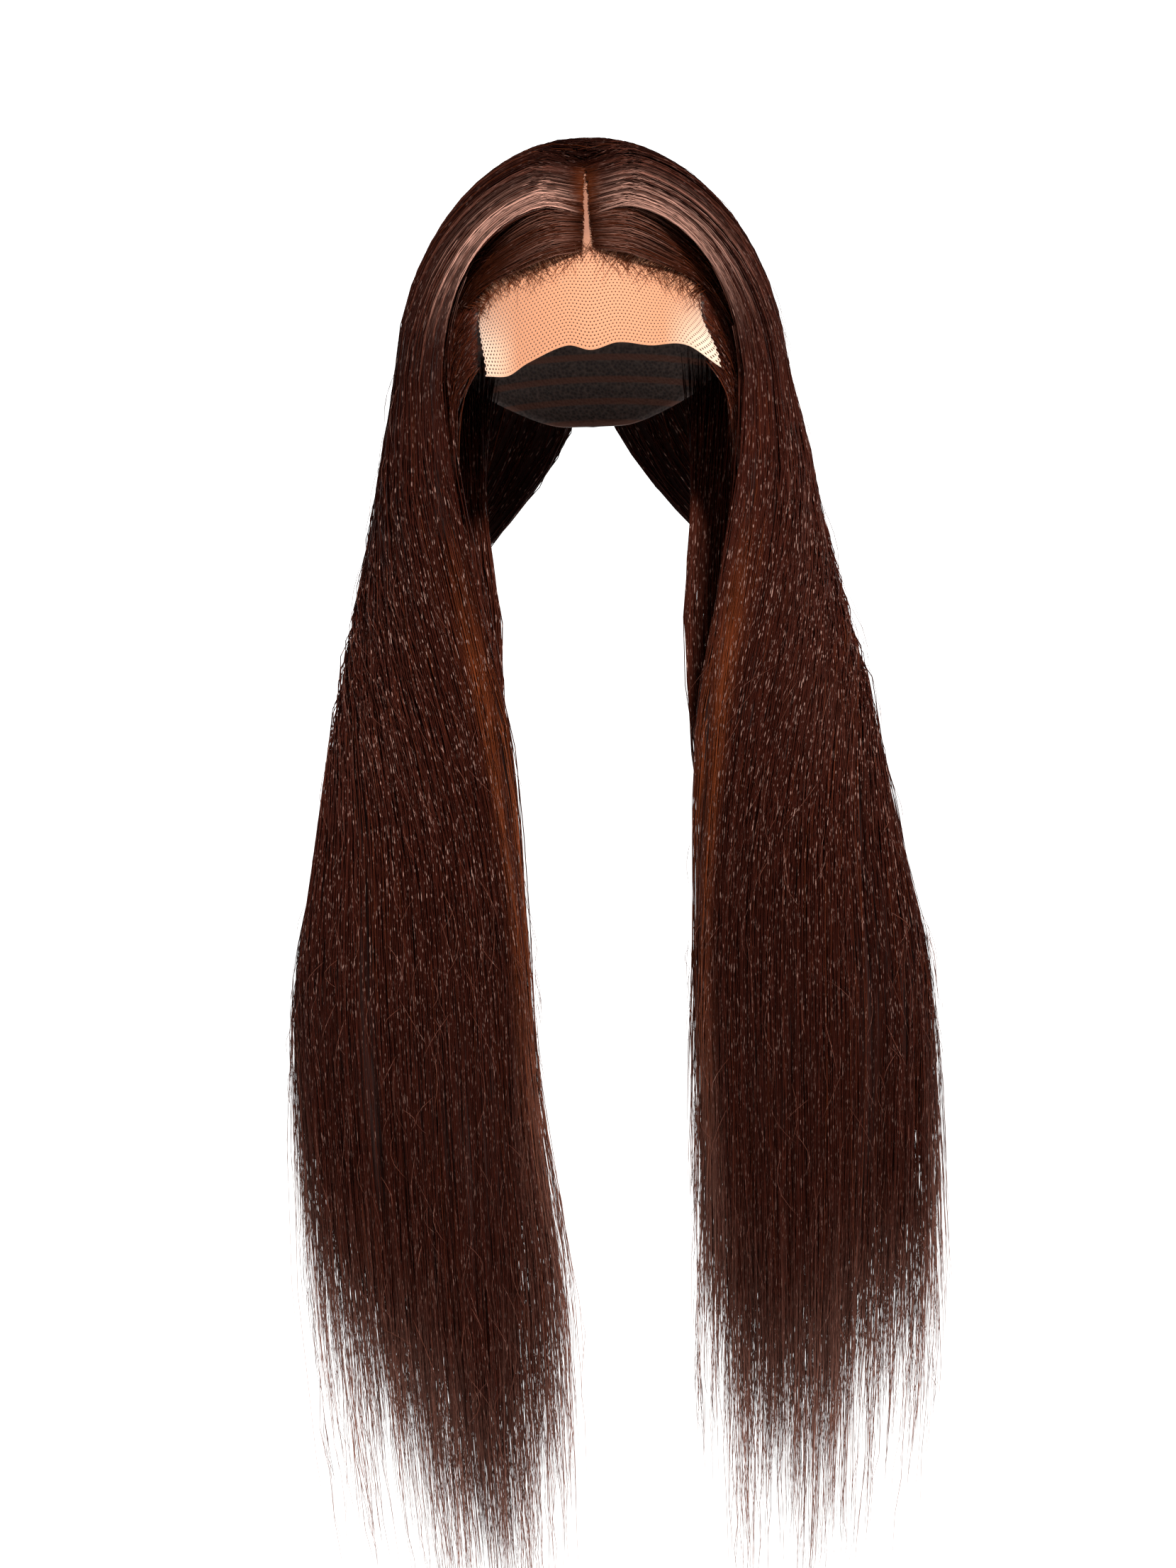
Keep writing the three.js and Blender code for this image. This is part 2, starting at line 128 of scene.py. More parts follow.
def table_at(table, key, column, place):
    """Smooth value of one column of a table at places along its key column."""
    keys = np.asarray(table[key], float)
    values = np.asarray(table[column], float)
    if keys[0] > keys[-1]:
        keys, values = keys[::-1], values[::-1]
    place = np.asarray(place, float)
    i = np.clip(np.searchsorted(keys, place) - 1, 0, len(keys) - 2)
    before = np.maximum(np.arange(len(keys)) - 1, 0)
    after = np.minimum(np.arange(len(keys)) + 1, len(keys) - 1)
    tangent = (values[after] - values[before]) / (keys[after] - keys[before])
    span = keys[i + 1] - keys[i]
    t = np.clip((place - keys[i]) / span, 0.0, 1.0)
    bend = span * t * (1 - t) * (tangent[i] * (1 - t) - tangent[i + 1] * t)
    return mix(values[i], values[i + 1], t * t * (3 - 2 * t)) + bend


def lace_direction(across, pitch):
    a = np.radians(across)
    p = np.radians(pitch)
    return np.stack([np.sin(a) + 0 * p, -np.cos(a) * np.sin(p), np.cos(a) * np.cos(p)], axis=-1)


def head_point(direction, offset):
    point = direction * (HEAD + np.asarray(offset)[..., None])
    point[..., 2] -= HEAD[2]
    return point


def unit(v):
    return v / np.maximum(np.linalg.norm(v, axis=-1, keepdims=True), 1e-9)


def round_head(angle, rise):
    """Direction at an angle round the head from its front, with its upward share."""
    return np.stack([np.sin(angle), -np.cos(angle), rise + 0 * angle], axis=-1)


def bezier(start, middle, end, t):
    """Points at shares t of a curve from start to end that is drawn towards middle."""
    return (1 - t) ** 2 * start + 2 * t * (1 - t) * middle + t**2 * end


# The way of the hair, the same for every layer

def part_pitch(lane):
    """Pitch of the root of a lane: along the part, then on down the middle of the back."""
    on_part = np.clip(lane, 0, PART_LANE) / PART_LANE
    on_back = np.maximum(lane - PART_LANE, 0) / (1 - PART_LANE)
    return mix(PART_FRONT_PITCH, LACE_BACK_PITCH, on_part) + (BACK_ROOT_PITCH - LACE_BACK_PITCH) * on_back


def root_on_part(lane):
    """Direction of the root of a lane on the edge of the part."""
    pitch = part_pitch(lane)
    return lace_direction(math.degrees(PART_HALF_WIDTH / HEAD[0]) + 0 * pitch, pitch)


def level_of(way):
    """Way 0 to 1 is over the head; past 1 it counts steps of LEVEL_STEP below the crown."""
    return np.where(way <= 1.0, way, -LEVEL_STEP * way)


def hair_points(lane, depth, level, root, swoop=1.0):
    """Points of strands on the right side, from arrays of strands by points.

    depth is 0 on the inside of the hair and 1 on the outside, root the direction of each root, and
    swoop how much of the front's lift and lean back the strands take.
    """
    lane, depth, level = np.broadcast_arrays(lane, depth, level)
    front_edge = mix(EDGE_THIN, 1.0, ease(lane, 0.0, EDGE_LANE))
    back_edge = mix(EDGE_THIN, 1.0, ease(1.0 - lane, 0.0, EDGE_LANE))

    t = np.clip(level, 0.0, 1.0)[..., None]
    end = round_head(np.radians(mix(TEMPLE_ANGLE, BACK_ANGLE, lane)), 0.0)
    start = np.broadcast_to(root[:, None, :], end.shape)
    lean = np.maximum(1.0 - lane / PART_LANE, 0.0)[..., None] ** 1.5
    raised = SWOOP * lean * np.atleast_2d(swoop)[..., None]
    middle = (start + end) / (1.0 + (start * end).sum(-1, keepdims=True)) + raised
    way = unit(bezier(start, middle, end, t))
    on_back = ease(lane, *CROWN_FILL)
    risen = ease(level, 0.0, mix(FRONT_RISE, ROOT_RISE, ease(lane, 0.15, 0.4)))
    thick = mix(SIDE_HAIR, CROWN_HAIR, way[..., 2]) * mix(ROOT_HAIR, 1.0, np.maximum(risen, on_back))
    off_lace = ease(lane, 0.42, PART_LANE)
    seat = mix(ROOT_SEAT, HAIR_SEAT, np.maximum(risen, off_lace))
    lift = swoop * np.maximum(1.0 - lane / LIFT_LANE, 0.0) ** 2 * np.sin(np.pi * t[..., 0])
    centre = seat + thick / 2 + CURTAIN_LIFT * lift
    on_head = head_point(way, centre + (depth - 0.5) * thick * front_edge)

    z = np.minimum(level, -HEAD[2])
    at = {name: table_at(SECTIONS, "z", name, z) for name in SECTIONS if name != "z"}
    parted = mix(1.0, back_edge, ease(-z, *BACK_PARTS))
    out = (depth - 0.5) * at["thick"] * front_edge * parted
    turn = np.radians(mix(at["front"], at["back"], lane))
    x = at["centre_x"] + (at["half_x"] + out) * np.sin(turn)
    y = at["centre_y"] - (at["half_y"] + out) * np.cos(turn)
    in_fall = np.stack([x, y, z], axis=-1)
    return np.where(level[..., None] >= 0, on_head, in_fall)


# Meshes

def link(name, data):
    piece = bpy.data.objects.new(name, data)
    bpy.context.scene.collection.objects.link(piece)
    return piece


def mesh_from(name, points, triangles, colours=None):
    """Smooth mesh from arrays: points in millimetres, triangles as rows of three numbers."""
    mesh = bpy.data.meshes.new(name)
    mesh.vertices.add(len(points))
    mesh.vertices.foreach_set("co", (points * MM).astype(np.float32).ravel())
    mesh.loops.add(triangles.size)
    mesh.loops.foreach_set("vertex_index", triangles.astype(np.int32).ravel())
    mesh.polygons.add(len(triangles))
    mesh.polygons.foreach_set("loop_start", np.arange(0, triangles.size, 3, dtype=np.int32))
    mesh.polygons.foreach_set("use_smooth", np.ones(len(triangles), dtype=bool))
    mesh.update(calc_edges=True)
    if colours is not None:
        layer = mesh.color_attributes.new("strand_colour", "FLOAT_COLOR", "POINT")
        layer.data.foreach_set("color", colours.astype(np.float32).ravel())
    return mesh


def strand_mesh(name, paths, radius, colours, rng):
    """Closed three-sided tubes along paths (strands by points), each drawn out to a fine point."""
    count, steps, _ = paths.shape
    along = unit(np.gradient(paths, axis=1))
    side = unit(np.cross(along[:, 0], rng.normal(size=(count, 3))))
    sides = np.empty_like(paths)
    for k in range(steps):
        side = unit(side - (side * along[:, k]).sum(-1, keepdims=True) * along[:, k])
        sides[:, k] = side
    other = np.cross(along, sides)
    turns = np.arange(3) * 2 * np.pi / 3
    spokes = np.cos(turns)[:, None] * sides[:, :-1, None, :] + np.sin(turns)[:, None] * other[:, :-1, None, :]
    rings = paths[:, :-1, None, :] + radius[:, :-1, None, None] * spokes
    points = np.concatenate([rings.reshape(count, -1, 3), paths[:, -1:]], axis=1)

    per_strand = 3 * (steps - 1) + 1
    faces = [(0, 2, 1)]
    for k in range(steps - 2):
        for j in range(3):
            a, b = 3 * k + j, 3 * k + (j + 1) % 3
            faces += [(a, b, b + 3), (a, b + 3, a + 3)]
    last = 3 * (steps - 2)
    faces += [(last + j, last + (j + 1) % 3, per_strand - 1) for j in range(3)]
    starts = np.arange(count)[:, None, None] * per_strand
    triangles = (np.array(faces)[None] + starts).reshape(-1, 3)
    spread = np.repeat(colours[:, :-1], 3, axis=1)
    shades = np.concatenate([spread, colours[:, -1:]], axis=1).reshape(-1, 4)
    return mesh_from(name, points.reshape(-1, 3), triangles, shades)


def split_quads(quads):
    return np.concatenate([quads[:, [0, 1, 2]], quads[:, [0, 2, 3]]])


def turned_wall(wall):
    a, b, c, d = wall
    return [b, a, d, c]


def sheet_faces(rows, columns):
    """Triangles between two grids of points, the outer one first, with walls round their rim."""
    def at(layer, i, j):
        return layer * rows * columns + i * columns + j

    i, j = np.meshgrid(np.arange(rows - 1), np.arange(columns - 1), indexing="ij")
    i, j = i.ravel(), j.ravel()
    quads = [np.stack([at(0, i, j), at(0, i, j + 1), at(0, i + 1, j + 1), at(0, i + 1, j)], -1)]
    quads += [np.stack([at(1, i, j), at(1, i + 1, j), at(1, i + 1, j + 1), at(1, i, j + 1)], -1)]
    j = np.arange(columns - 1)
    for row, turned in ((0, True), (rows - 1, False)):
        wall = [at(0, row, j), at(0, row, j + 1), at(1, row, j + 1), at(1, row, j)]
        quads.append(np.stack(turned_wall(wall) if turned else wall, -1))
    i = np.arange(rows - 1)
    for column, turned in ((0, False), (columns - 1, True)):
        wall = [at(0, i, column), at(0, i + 1, column), at(1, i + 1, column), at(1, i, column)]
        quads.append(np.stack(turned_wall(wall) if turned else wall, -1))
    return split_quads(np.concatenate(quads))


def turned_out(points, triangles):
    """The same triangles with their faces pointing out of the closed body."""
    a, b, c = (points[triangles[:, k]] for k in range(3))
    volume = (a * np.cross(b, c)).sum()
    return triangles if volume > 0 else triangles[:, ::-1]


def sheet_mesh(name, outer, inner):
    rows, columns, _ = outer.shape
    points = np.concatenate([outer.reshape(-1, 3), inner.reshape(-1, 3)])
    return mesh_from(name, points, turned_out(points, sheet_faces(rows, columns)))


# Materials

GLINT = (0.29, 0.165, 0.132, 1)
REFLECTION = (1.0, 0.42, 0.30, 1)
# Painted shade: the deep hair is darker than the strands.
DEPTH_DARK = (0.011, 0.0030, 0.0019, 1)
DEPTH_LIGHT = (0.029, 0.0085, 0.0055, 1)
BEIGE = (0.470, 0.192, 0.090, 1)
PALE_BEIGE = (0.60, 0.42, 0.305, 1)
PART_SHADE = (0.25, 0.095, 0.05, 1)
NET_DARK = (0.016, 0.011, 0.010, 1)
NET_LIGHT = (0.100, 0.068, 0.058, 1)
SEWN_HAIR = (0.115, 0.046, 0.030, 1)
FLOOR_DARK = (0.86, 0.86, 0.86, 1)
FLOOR_LIGHT = (0.90, 0.90, 0.90, 1)


def new_material(name):
    material = bpy.data.materials.new(name)
    material.use_nodes = True
    return material, material.node_tree, material.node_tree.nodes["Principled BSDF"]


def set_inputs(tree, node, inputs):
    """Sets each input of a node to a constant, or links it to another node's output."""
    for socket, value in inputs.items():
        if isinstance(value, bpy.types.NodeSocket):
            tree.links.new(value, node.inputs[socket])
        else:
            node.inputs[socket].default_value = value


def add_node(tree, kind, inputs=None, **settings):
    """New shader node's outputs, after its settings and its inputs."""
    node = tree.nodes.new("ShaderNode" + kind)
    for name, value in settings.items():
        setattr(node, name, value)
    set_inputs(tree, node, inputs or {})
    return node.outputs


def math_node(tree, operation, *values):
    return add_node(tree, "Math", dict(enumerate(values)), operation=operation)["Value"]


def range_node(tree, value, start, end, low=0.0, high=1.0):
    """The value with start to end turned into low to high."""
    inputs = {"Value": value, "From Min": start, "From Max": end, "To Min": low, "To Max": high}
    return add_node(tree, "MapRange", inputs)["Result"]


def noise_node(tree, place, scale):
    return add_node(tree, "TexNoise", {"Vector": place, "Scale": scale})["Fac"]


def strand_noise(tree, place, scale, detail, apart):
    """Noise that is another one on every strand, by a number that sets strands apart."""
    inputs = {"Vector": place, "W": apart, "Scale": scale, "Detail": detail}
    return add_node(tree, "TexNoise", inputs, noise_dimensions="4D")["Fac"]


def mix_node(tree, factor, first, second):
    """Colour between the first and the second."""
    return add_node(tree, "Mix", {"Factor": factor, "A": first, "B": second}, data_type="RGBA")["Result"]


def ramp_node(tree, factor, first, second):
    """Colour of a ramp between the first and the second."""
    outputs = add_node(tree, "ValToRGB", {"Fac": factor})
    elements = outputs["Color"].node.color_ramp.elements
    elements[0].color = first
    elements[1].color = second
    return outputs["Color"]


def bump_node(tree, height, strength, distance):
    inputs = {"Height": height, "Strength": strength, "Distance": distance}
    return add_node(tree, "Bump", inputs)["Normal"]


def hair_material():
    """Dark brown hair: colour by strand, with short bright glints where each strand kinks, painted into its
    colour.

    The painted glints grow from the crown down to the shoulder, and calm again below it.
    """
    material, tree, shader = new_material("dark_brown_hair")
    strand = add_node(tree, "Attribute", attribute_name="strand_colour")
    place = add_node(tree, "TexCoord")["Object"]
    height = add_node(tree, "SeparateXYZ", {"Vector": place})["Z"]
    apart = math_node(tree, "MULTIPLY", strand["Alpha"], 60.0)
    kinks = strand_noise(tree, place, 270.0, 1.0, apart)
    loose = range_node(tree, height, -0.03, -0.17, 0.22)
    calm = range_node(tree, height, -0.34, -0.48, 1.0, 0.55)
    bright = math_node(tree, "MULTIPLY", loose, calm)
    glint = range_node(tree, kinks, 0.605, 0.73, 0.0, bright)
    drift = strand_noise(tree, place, 75.0, 2.0, apart)
    depth = range_node(tree, drift, 0.32, 0.68, 0.80, 1.20)
    drifted = add_node(tree, "VectorMath", {0: strand["Color"], "Scale": depth}, operation="SCALE")
    # Painted highlight: the glints mix GLINT into the base colour.
    set_inputs(tree, shader, {
        "Base Color": mix_node(tree, glint, drifted["Vector"], GLINT),
        "Roughness": range_node(tree, kinks, 0.3, 0.7, 0.50, 0.30),
        "Normal": bump_node(tree, kinks, 0.45, 0.0012),
        "Specular IOR Level": 0.07,
        "Specular Tint": REFLECTION,
    })
    return material


def under_material():
    """Hair in the depth, seen only between strands, in a darker brown than theirs that is painted shade."""
    material, tree, shader = new_material("deep_hair")
    place = add_node(tree, "TexCoord")["Object"]
    stretched = add_node(tree, "Mapping", {"Vector": place, "Scale": (900.0, 900.0, 18.0)})["Vector"]
    # Painted shade: a darker brown than the strands.
    set_inputs(tree, shader, {
        "Base Color": ramp_node(tree, noise_node(tree, stretched, 1.0), DEPTH_DARK, DEPTH_LIGHT),
        "Roughness": 0.75,
        "Specular IOR Level": 0.15,
    })
    return material


def lace_material():
    """Warm beige lace, paler towards its free corners, with painted shade of the hair along the part."""
    material, tree, shader = new_material("beige_lace")
    place = add_node(tree, "TexCoord")["Object"]
    parts = add_node(tree, "SeparateXYZ", {"Vector": place})
    outward = range_node(tree, math_node(tree, "ABSOLUTE", parts["X"]), 0.036, 0.056)
    low = range_node(tree, parts["Z"], -0.058, -0.080)
    tone = mix_node(tree, math_node(tree, "MULTIPLY", outward, low), BEIGE, PALE_BEIGE)
    # Painted shade of the hair along the part.
    shaded = range_node(tree, parts["Z"], -0.040, -0.026)
    set_inputs(tree, shader, {
        "Base Color": mix_node(tree, shaded, tone, PART_SHADE),
        "Normal": bump_node(tree, noise_node(tree, place, 1400.0), 0.3, 0.0002),
        "Roughness": 0.7,
        "Sheen Weight": 0.3,
    })
    return material


def cap_material():
    """Dark stretch net with a fine mesh in its surface, and the rows of hair sewn to it in a warmer tone."""
    material, tree, shader = new_material("cap_net")
    place = add_node(tree, "TexCoord")["Object"]
    holes = add_node(tree, "TexVoronoi", {"Vector": place, "Scale": 620.0})["Distance"]
    row = add_node(tree, "SeparateXYZ", {"Vector": place})["Z"]
    steps = (("MULTIPLY_ADD", 1 / (HEAD[2] * MM), 1.0), ("ARCCOSINE",),
             ("MULTIPLY", HEAD[1] / WEFT_ROW), ("PINGPONG", 0.5))
    for operation, *constants in steps:
        row = math_node(tree, operation, row, *constants)
    sewn = range_node(tree, row, 0.17, 0.11)
    set_inputs(tree, shader, {
        "Base Color": mix_node(tree, sewn, ramp_node(tree, holes, NET_DARK, NET_LIGHT), SEWN_HAIR),
        "Normal": bump_node(tree, holes, 0.6, 0.0006),
        "Roughness": 0.85,
    })
    return material


def floor_material():
    material, tree, shader = new_material("pale_floor")
    place = add_node(tree, "TexCoord")["Object"]
    set_inputs(tree, shader, {
        "Base Color": ramp_node(tree, noise_node(tree, place, 0.4), FLOOR_DARK, FLOOR_LIGHT),
        "Roughness": 0.9,
        "Specular IOR Level": 0.1,
    })
    return material


HAIR = hair_material()
UNDER = under_material()
LACE = lace_material()
CAP = cap_material()


def finish_piece(name, mesh, material, slot, *nodes):
    mesh.materials.append(material)
    piece = link(name, mesh)
    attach(piece, "root")
    if nodes:
        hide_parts(*nodes)
    return piece


def hair_piece(kind, side, paths, radius, colours, rng, owner=None):
    """Strands of one kind on one side, shown in place of the owner's solid hair where it has one."""
    name = f"{kind}_{side}"
    mesh = strand_mesh(name, mirrored(paths, side), radius, colours, rng)
    nodes = [f"{owner}_hair_{side}"] if owner else []
    return finish_piece(name, mesh, HAIR, "hair", *nodes)


def core_piece(kind, side, outer, inner, owner):
    """Closed dark body of hair between two grids of points, in place of the owner's solid hair."""
    name = f"{kind}_{side}"
    mesh = sheet_mesh(name, mirrored(outer, side), mirrored(inner, side))
    return finish_piece(name, mesh, UNDER, "hair", f"{owner}_hair_{side}")


# Strands

# Painted shade: near-black brown mixed in to darken the hair on the head and in the pocket under the curtain.
PAINTED_SHADE = np.array([0.0040, 0.0007, 0.0004])
DARK = np.array([0.0225, 0.0043, 0.0025])
LIGHT = np.array([0.038, 0.0081, 0.0048])
# Painted sheen: the highlight on the combed front of the curtain, given as colour.
SHEEN = np.array([0.66, 0.345, 0.260])
# Painted highlight: lighter brown streaks on the head and on some front locks.
STREAK = np.array([0.15, 0.043, 0.026])
# Painted light: the lighter brown where light shines through thin single hairs.
THIN = np.array([0.235, 0.108, 0.080])
# Auburn of the hair, also used for painted light through the thin inner edge of the fall.
AUBURN = np.array([0.185, 0.040, 0.011])

# Height at which half of the light comes through the thinning hair, by lane. The hair starts to end
# THIN_FROM above it, and THIN_RATE is the drop in which about a third of the strands is left.
HALF_THIN = {
    "left": {"lane": (0, 0.08, 0.3, 0.45, 0.65, 0.85, 1), "z": (-570, -622, -686, -655, -625, -585, -530)},
    "right": {"lane": (0, 0.15, 0.3, 0.5, 0.7, 0.85, 1), "z": (-520, -606, -640, -629, -604, -595, -560)},
}
THIN_FROM = 22.0
THIN_RATE = 36.0
LOWEST_TIP = -724.0
CORE_ABOVE = 62.0

# The lower fall, in millimetres: its spread, its frayed edges and loose hairs, and tips that end early.
SPLAY = 4.0
FRAY_IN = {"left": 12.0, "right": 2.0}
FRAY_OUT = 3.5
FUZZ = 2.6
TIP_SCATTER = 6.0
EARLY_DROP = 150.0

# In lanes: the last one at the nape, the widths of a loose edge and of the painted sheen, and a strand's
# drift.
NAPE_LANE = 0.985
LOOSE_EDGE = 0.16
SHEEN_LANE = 0.118
LANE_WAVE = 0.005

# Shares: drift in depth, gathering to wisps, strands that end early or cross the part, painted brown
# highlight streaks.
DEPTH_WAVE = 0.03
GATHER = 0.4
EARLY_SHARE = 0.62
CROSSING_SHARE = 0.07
STREAK_SHARE = 0.38

# The bed of the front hair lies BED_BACK degrees behind the hairline, and the neck hair NECK_IN
# millimetres from the middle.
BED_BACK = 6.0
TEMPLE_BEND = np.array([0.03, 0.10, 0.06])
NECK_IN = {"left": 50.0, "right": 42.0}
FRONT_LOCKS = 24
STREAKS = 72
SEED = 41

# Radius of the strands in millimetres, from the finest to the thickest of a kind.
FALL_RADIUS = 0.30
RADII = {
    "tip": (0.10, 0.19),
    "edge": (0.20, 0.34),
    "fringe": (0.18, 0.30),
    "hairline": (0.15, 0.27),
    "temple": (0.17, 0.29),
    "neck": (0.26, 0.40),
    "baby": (0.06, 0.12),
    "flyaway": (0.08, 0.15),
}

LAYERS = {
    "closure": {"node": "closure", "count": 1150, "clumps": 72, "lanes": (0.0, 0.58), "depths": (0.72, 1.02),
                "first": (0.0, 0.0), "roots": "part", "head": 12, "fall": 9, "hang": 0.11},
    "back": {"node": "weft", "count": 620, "clumps": 40, "lanes": (0.47, 1.0), "depths": (0.66, 1.02),
             "first": (0.0, 0.0), "roots": "crown", "head": 9, "fall": 10, "hang": 0.11},
    "inner": {"node": "weft", "count": 250, "clumps": 36, "lanes": (0.0, 1.0), "depths": (-0.02, 0.3),
              "first": (0.45, 0.97), "roots": "part", "head": 4, "fall": 9, "hang": 0.0},
}


def way_of(level):
    return np.where(level >= 0, level, -level / LEVEL_STEP)


def stations(rng, count, steps):
    """Places from 0 to 1 along each strand, shifted from strand to strand so that no bends line up."""
    number = np.arange(steps)
    inside = (number > 0) & (number < steps - 1)
    return (number + rng.uniform(-0.45, 0.45, (count, 1)) * inside) / (steps - 1)


def wave(rng, way, size, turns):
    """Slow drift along each strand, as a sum of two sines of its own."""
    count = len(way)
    drift = np.zeros_like(way)
    for k in (1, 2):
        phase = rng.uniform(0, 2 * np.pi, (count, 1))
        speed = rng.uniform(0.5, 1.5, (count, 1)) * turns * k
        drift += rng.normal(0, size / k, (count, 1)) * np.sin(speed * way + phase)
    return drift


def strand_colours(rng, shade, *tints):
    """Brown between DARK and LIGHT under tints, each a colour and its share at each point.

    The fourth value is a number of each strand's own.
    """
    count, steps = tints[0][1].shape
    spread = np.clip(rng.beta(2, 3, count) + shade, 0, 1.2)
    colour = mix(DARK, LIGHT, spread[:, None])[:, None, :]
    for tint, share in tints:
        colour = mix(colour, tint, np.clip(share, 0, 0.95)[..., None])
    own = np.broadcast_to(rng.random((count, 1, 1)), (count, steps, 1))
    return np.concatenate([colour, own], axis=-1)


def taper(steps, radius, root=0.7, tip_from=0.6, tip=0.35):
    along = np.linspace(0, 1, steps)
    shape = mix(root, 1.0, ease(along, 0, 0.1)) * mix(1.0, tip, ease(along, tip_from, 1.0))
    return radius[:, None] * shape[None]


def mirrored(paths, side):
    return paths * np.array([SIDES[side], 1.0, 1.0])


def part_roots(rng, lane, sign):
    """Roots along both edges of the part, which is uneven and closes before the crown."""
    count = len(lane)
    pitch = part_pitch(lane) + rng.normal(0, 0.6, count)
    uneven = 0.30 * np.sin(pitch * 0.9) + 0.24 * np.sin(pitch * 2.3 + 1)
    half = 1.40 + np.abs(rng.normal(0, 0.5, count))
    open_part = half * mix(0.35, 1.0, ease(pitch, 12, 36)) + sign * uneven
    crossing = rng.random(count) < CROSSING_SHARE
    open_part = open_part - np.where(crossing, rng.uniform(0.3, 1.3, count), 0.0)
    off = mix(rng.normal(0, 1.8, count), open_part, ease(pitch, 9.0, 17.0))
    return lace_direction(np.degrees(off / HEAD[0]), pitch)


def crown_roots(rng, lane, sign):
    """Roots round the end of the part, where the hair of the back fans out."""
    count = len(lane)
    back = ease(lane, PART_LANE, 0.7)
    pitch = mix(LACE_BACK_PITCH + 12, -15.0, back) + rng.normal(0, 4.5, count)
    return lace_direction(rng.normal(0, 2.4, count), pitch)


ROOTS = {"part": part_roots, "crown": crown_roots}


def tips_of(rng, side, lane, mine):
    """Height of each tip: most hair ends early, and ever fewer strands go on to the last wisps."""
    count, clumps = len(lane), mine.max() + 1
    start = table_at(HALF_THIN[side], "lane", "z", np.clip(lane, 0, 1)) + THIN_FROM
    reach = np.where(rng.random(count) < 0.5, rng.exponential(1, clumps)[mine], rng.exponential(1, count))
    tip = start - THIN_RATE * reach + rng.normal(0, TIP_SCATTER, count)
    edge = 1 - ease(np.minimum(lane, 1 - lane), 0.0, LOOSE_EDGE)
    early = rng.random(count) < EARLY_SHARE * edge
    return np.maximum(np.where(early, start + rng.uniform(0, EARLY_DROP, count), tip), LOWEST_TIP)


def lay_strands(rng, side, level, centre, mine, lane0, depth0, root, frizz, hang=0.0):
    """Paths of strands that keep their lane and depth, then spread in depth and gather to wisps.

    With hang, strands at the front fall straight below the neck and leave the inner edge to the hair
    under them.
    """
    count, clumps = len(lane0), mine.max() + 1
    way = way_of(level)
    gather = mix(1.0, GATHER, ease(way, 5.4, 7.0))
    lane = centre[:, None] + (lane0 - centre)[:, None] * gather
    lane = lane + hang * (1 - lane0[:, None]) ** 2 * ease(way, 2.1, 3.4)
    lane = lane + ease(way, 0.3, 2.0) * wave(rng, way, LANE_WAVE, 2.2)
    lane = lane + ease(way, 4.8, 7.0) * rng.normal(0, 0.016, (count, 1))
    lane = lane - np.maximum(lane - NAPE_LANE, 0) * (1 - ease(way, 1.4, 4.6))
    low_depth = rng.uniform(0.0, 1.0, (count, 1))
    depth = mix(depth0[:, None], low_depth, 0.8 * ease(way, 3.8, 6.0))
    depth = depth + ease(way, 0.2, 1.5) * wave(rng, way, DEPTH_WAVE, 2.6)
    root_depth = depth0 * mix(0.6, 0.95, ease(lane0, *CROWN_FILL))
    depth = mix(root_depth[:, None], depth, ease(way, 0.0, 0.15))
    paths = hair_points(lane, depth, level, root)
    splay = SPLAY * (rng.normal(0, 1, clumps)[mine] + 0.5 * rng.normal(0, 1, count))
    fray = FRAY_OUT * ease(lane0, 0.7, 1.0) - FRAY_IN[side] * (1 - ease(lane0, 0.0, 0.3))
    outward = ease(lane0, 0.84, 1.0) - 1 + ease(lane0, 0.0, 0.1)
    fuzz = FUZZ * np.minimum(rng.exponential(1, count), 3) * outward
    paths[..., 0] += splay[:, None] * ease(way, 4.2, 7.0) + fray[:, None] * ease(way, 4.4, 5.8)
    paths[..., 0] += fuzz[:, None] * ease(way, 3.6, 5.0)
    paths[..., :2] += frizz * ease(way, 4.6, 6.4)[..., None] * rng.normal(0, 1, (*way.shape, 2))
    return paths


def auburn_and_edge_light(rng, lane0, way):
    """Share of auburn: at the roots and on odd strands, and along the thin inner edge of the fall as painted
    light shining through it.
    """
    # Painted light: the auburn band just inside the inner edge of the fall.
    edge = 0.6 * np.exp(-(((lane0 - 0.04) / 0.028) ** 2))[:, None]
    edge = edge * ease(way, 1.6, 2.6) * (1 - 0.85 * ease(way, 4.4, 6.0))
    odd = np.where(rng.random(len(lane0)) < 0.06, rng.uniform(0.05, 0.2, len(lane0)), 0.0)
    front = 0.45 * (1 - ease(lane0, 0.12, 0.34))[:, None]
    return edge + odd[:, None] + front * (1 - ease(way, 0.0, 0.045))


def painted_sheen(rng, lane0, way, shine):
    """Share of painted sheen on the combed front of the curtain, strong on some strands and weak on others.
    """
    own = 1.3 * rng.beta(0.6, 0.6, len(lane0))
    front = np.exp(-((np.maximum(lane0, 0) / SHEEN_LANE) ** 2)) * (0.20 + 1.10 * shine) * own
    broken = rng.uniform(0.55, 1.45, way.shape)
    return front[:, None] * broken * ease(way, 0.0, 0.14) * (1 - ease(way, 0.42, 0.95))


def streak_lanes(rng, lane0, lanes):
    """Brightness from 0 to 1 of each strand's lane for the painted streaks and sheen, so that strands side by
    side make streaks.
    """
    place = (lane0 - lanes[0]) / (lanes[1] - lanes[0]) * STREAKS + rng.normal(0, 0.2, len(lane0))
    return rng.beta(0.5, 0.9, STREAKS)[np.clip(place.astype(int), 0, STREAKS - 1)]


def streaks(rng, way, shine):
    """Share of painted brown highlight on the head, streak by streak."""
    own = 1.3 * rng.beta(0.6, 0.6, len(way))
    share = STREAK_SHARE * ease(shine, 0.2, 0.9) * own
    return share[:, None] * ease(way, 0.0, 0.14) * (1 - ease(way, 0.7, 1.3))


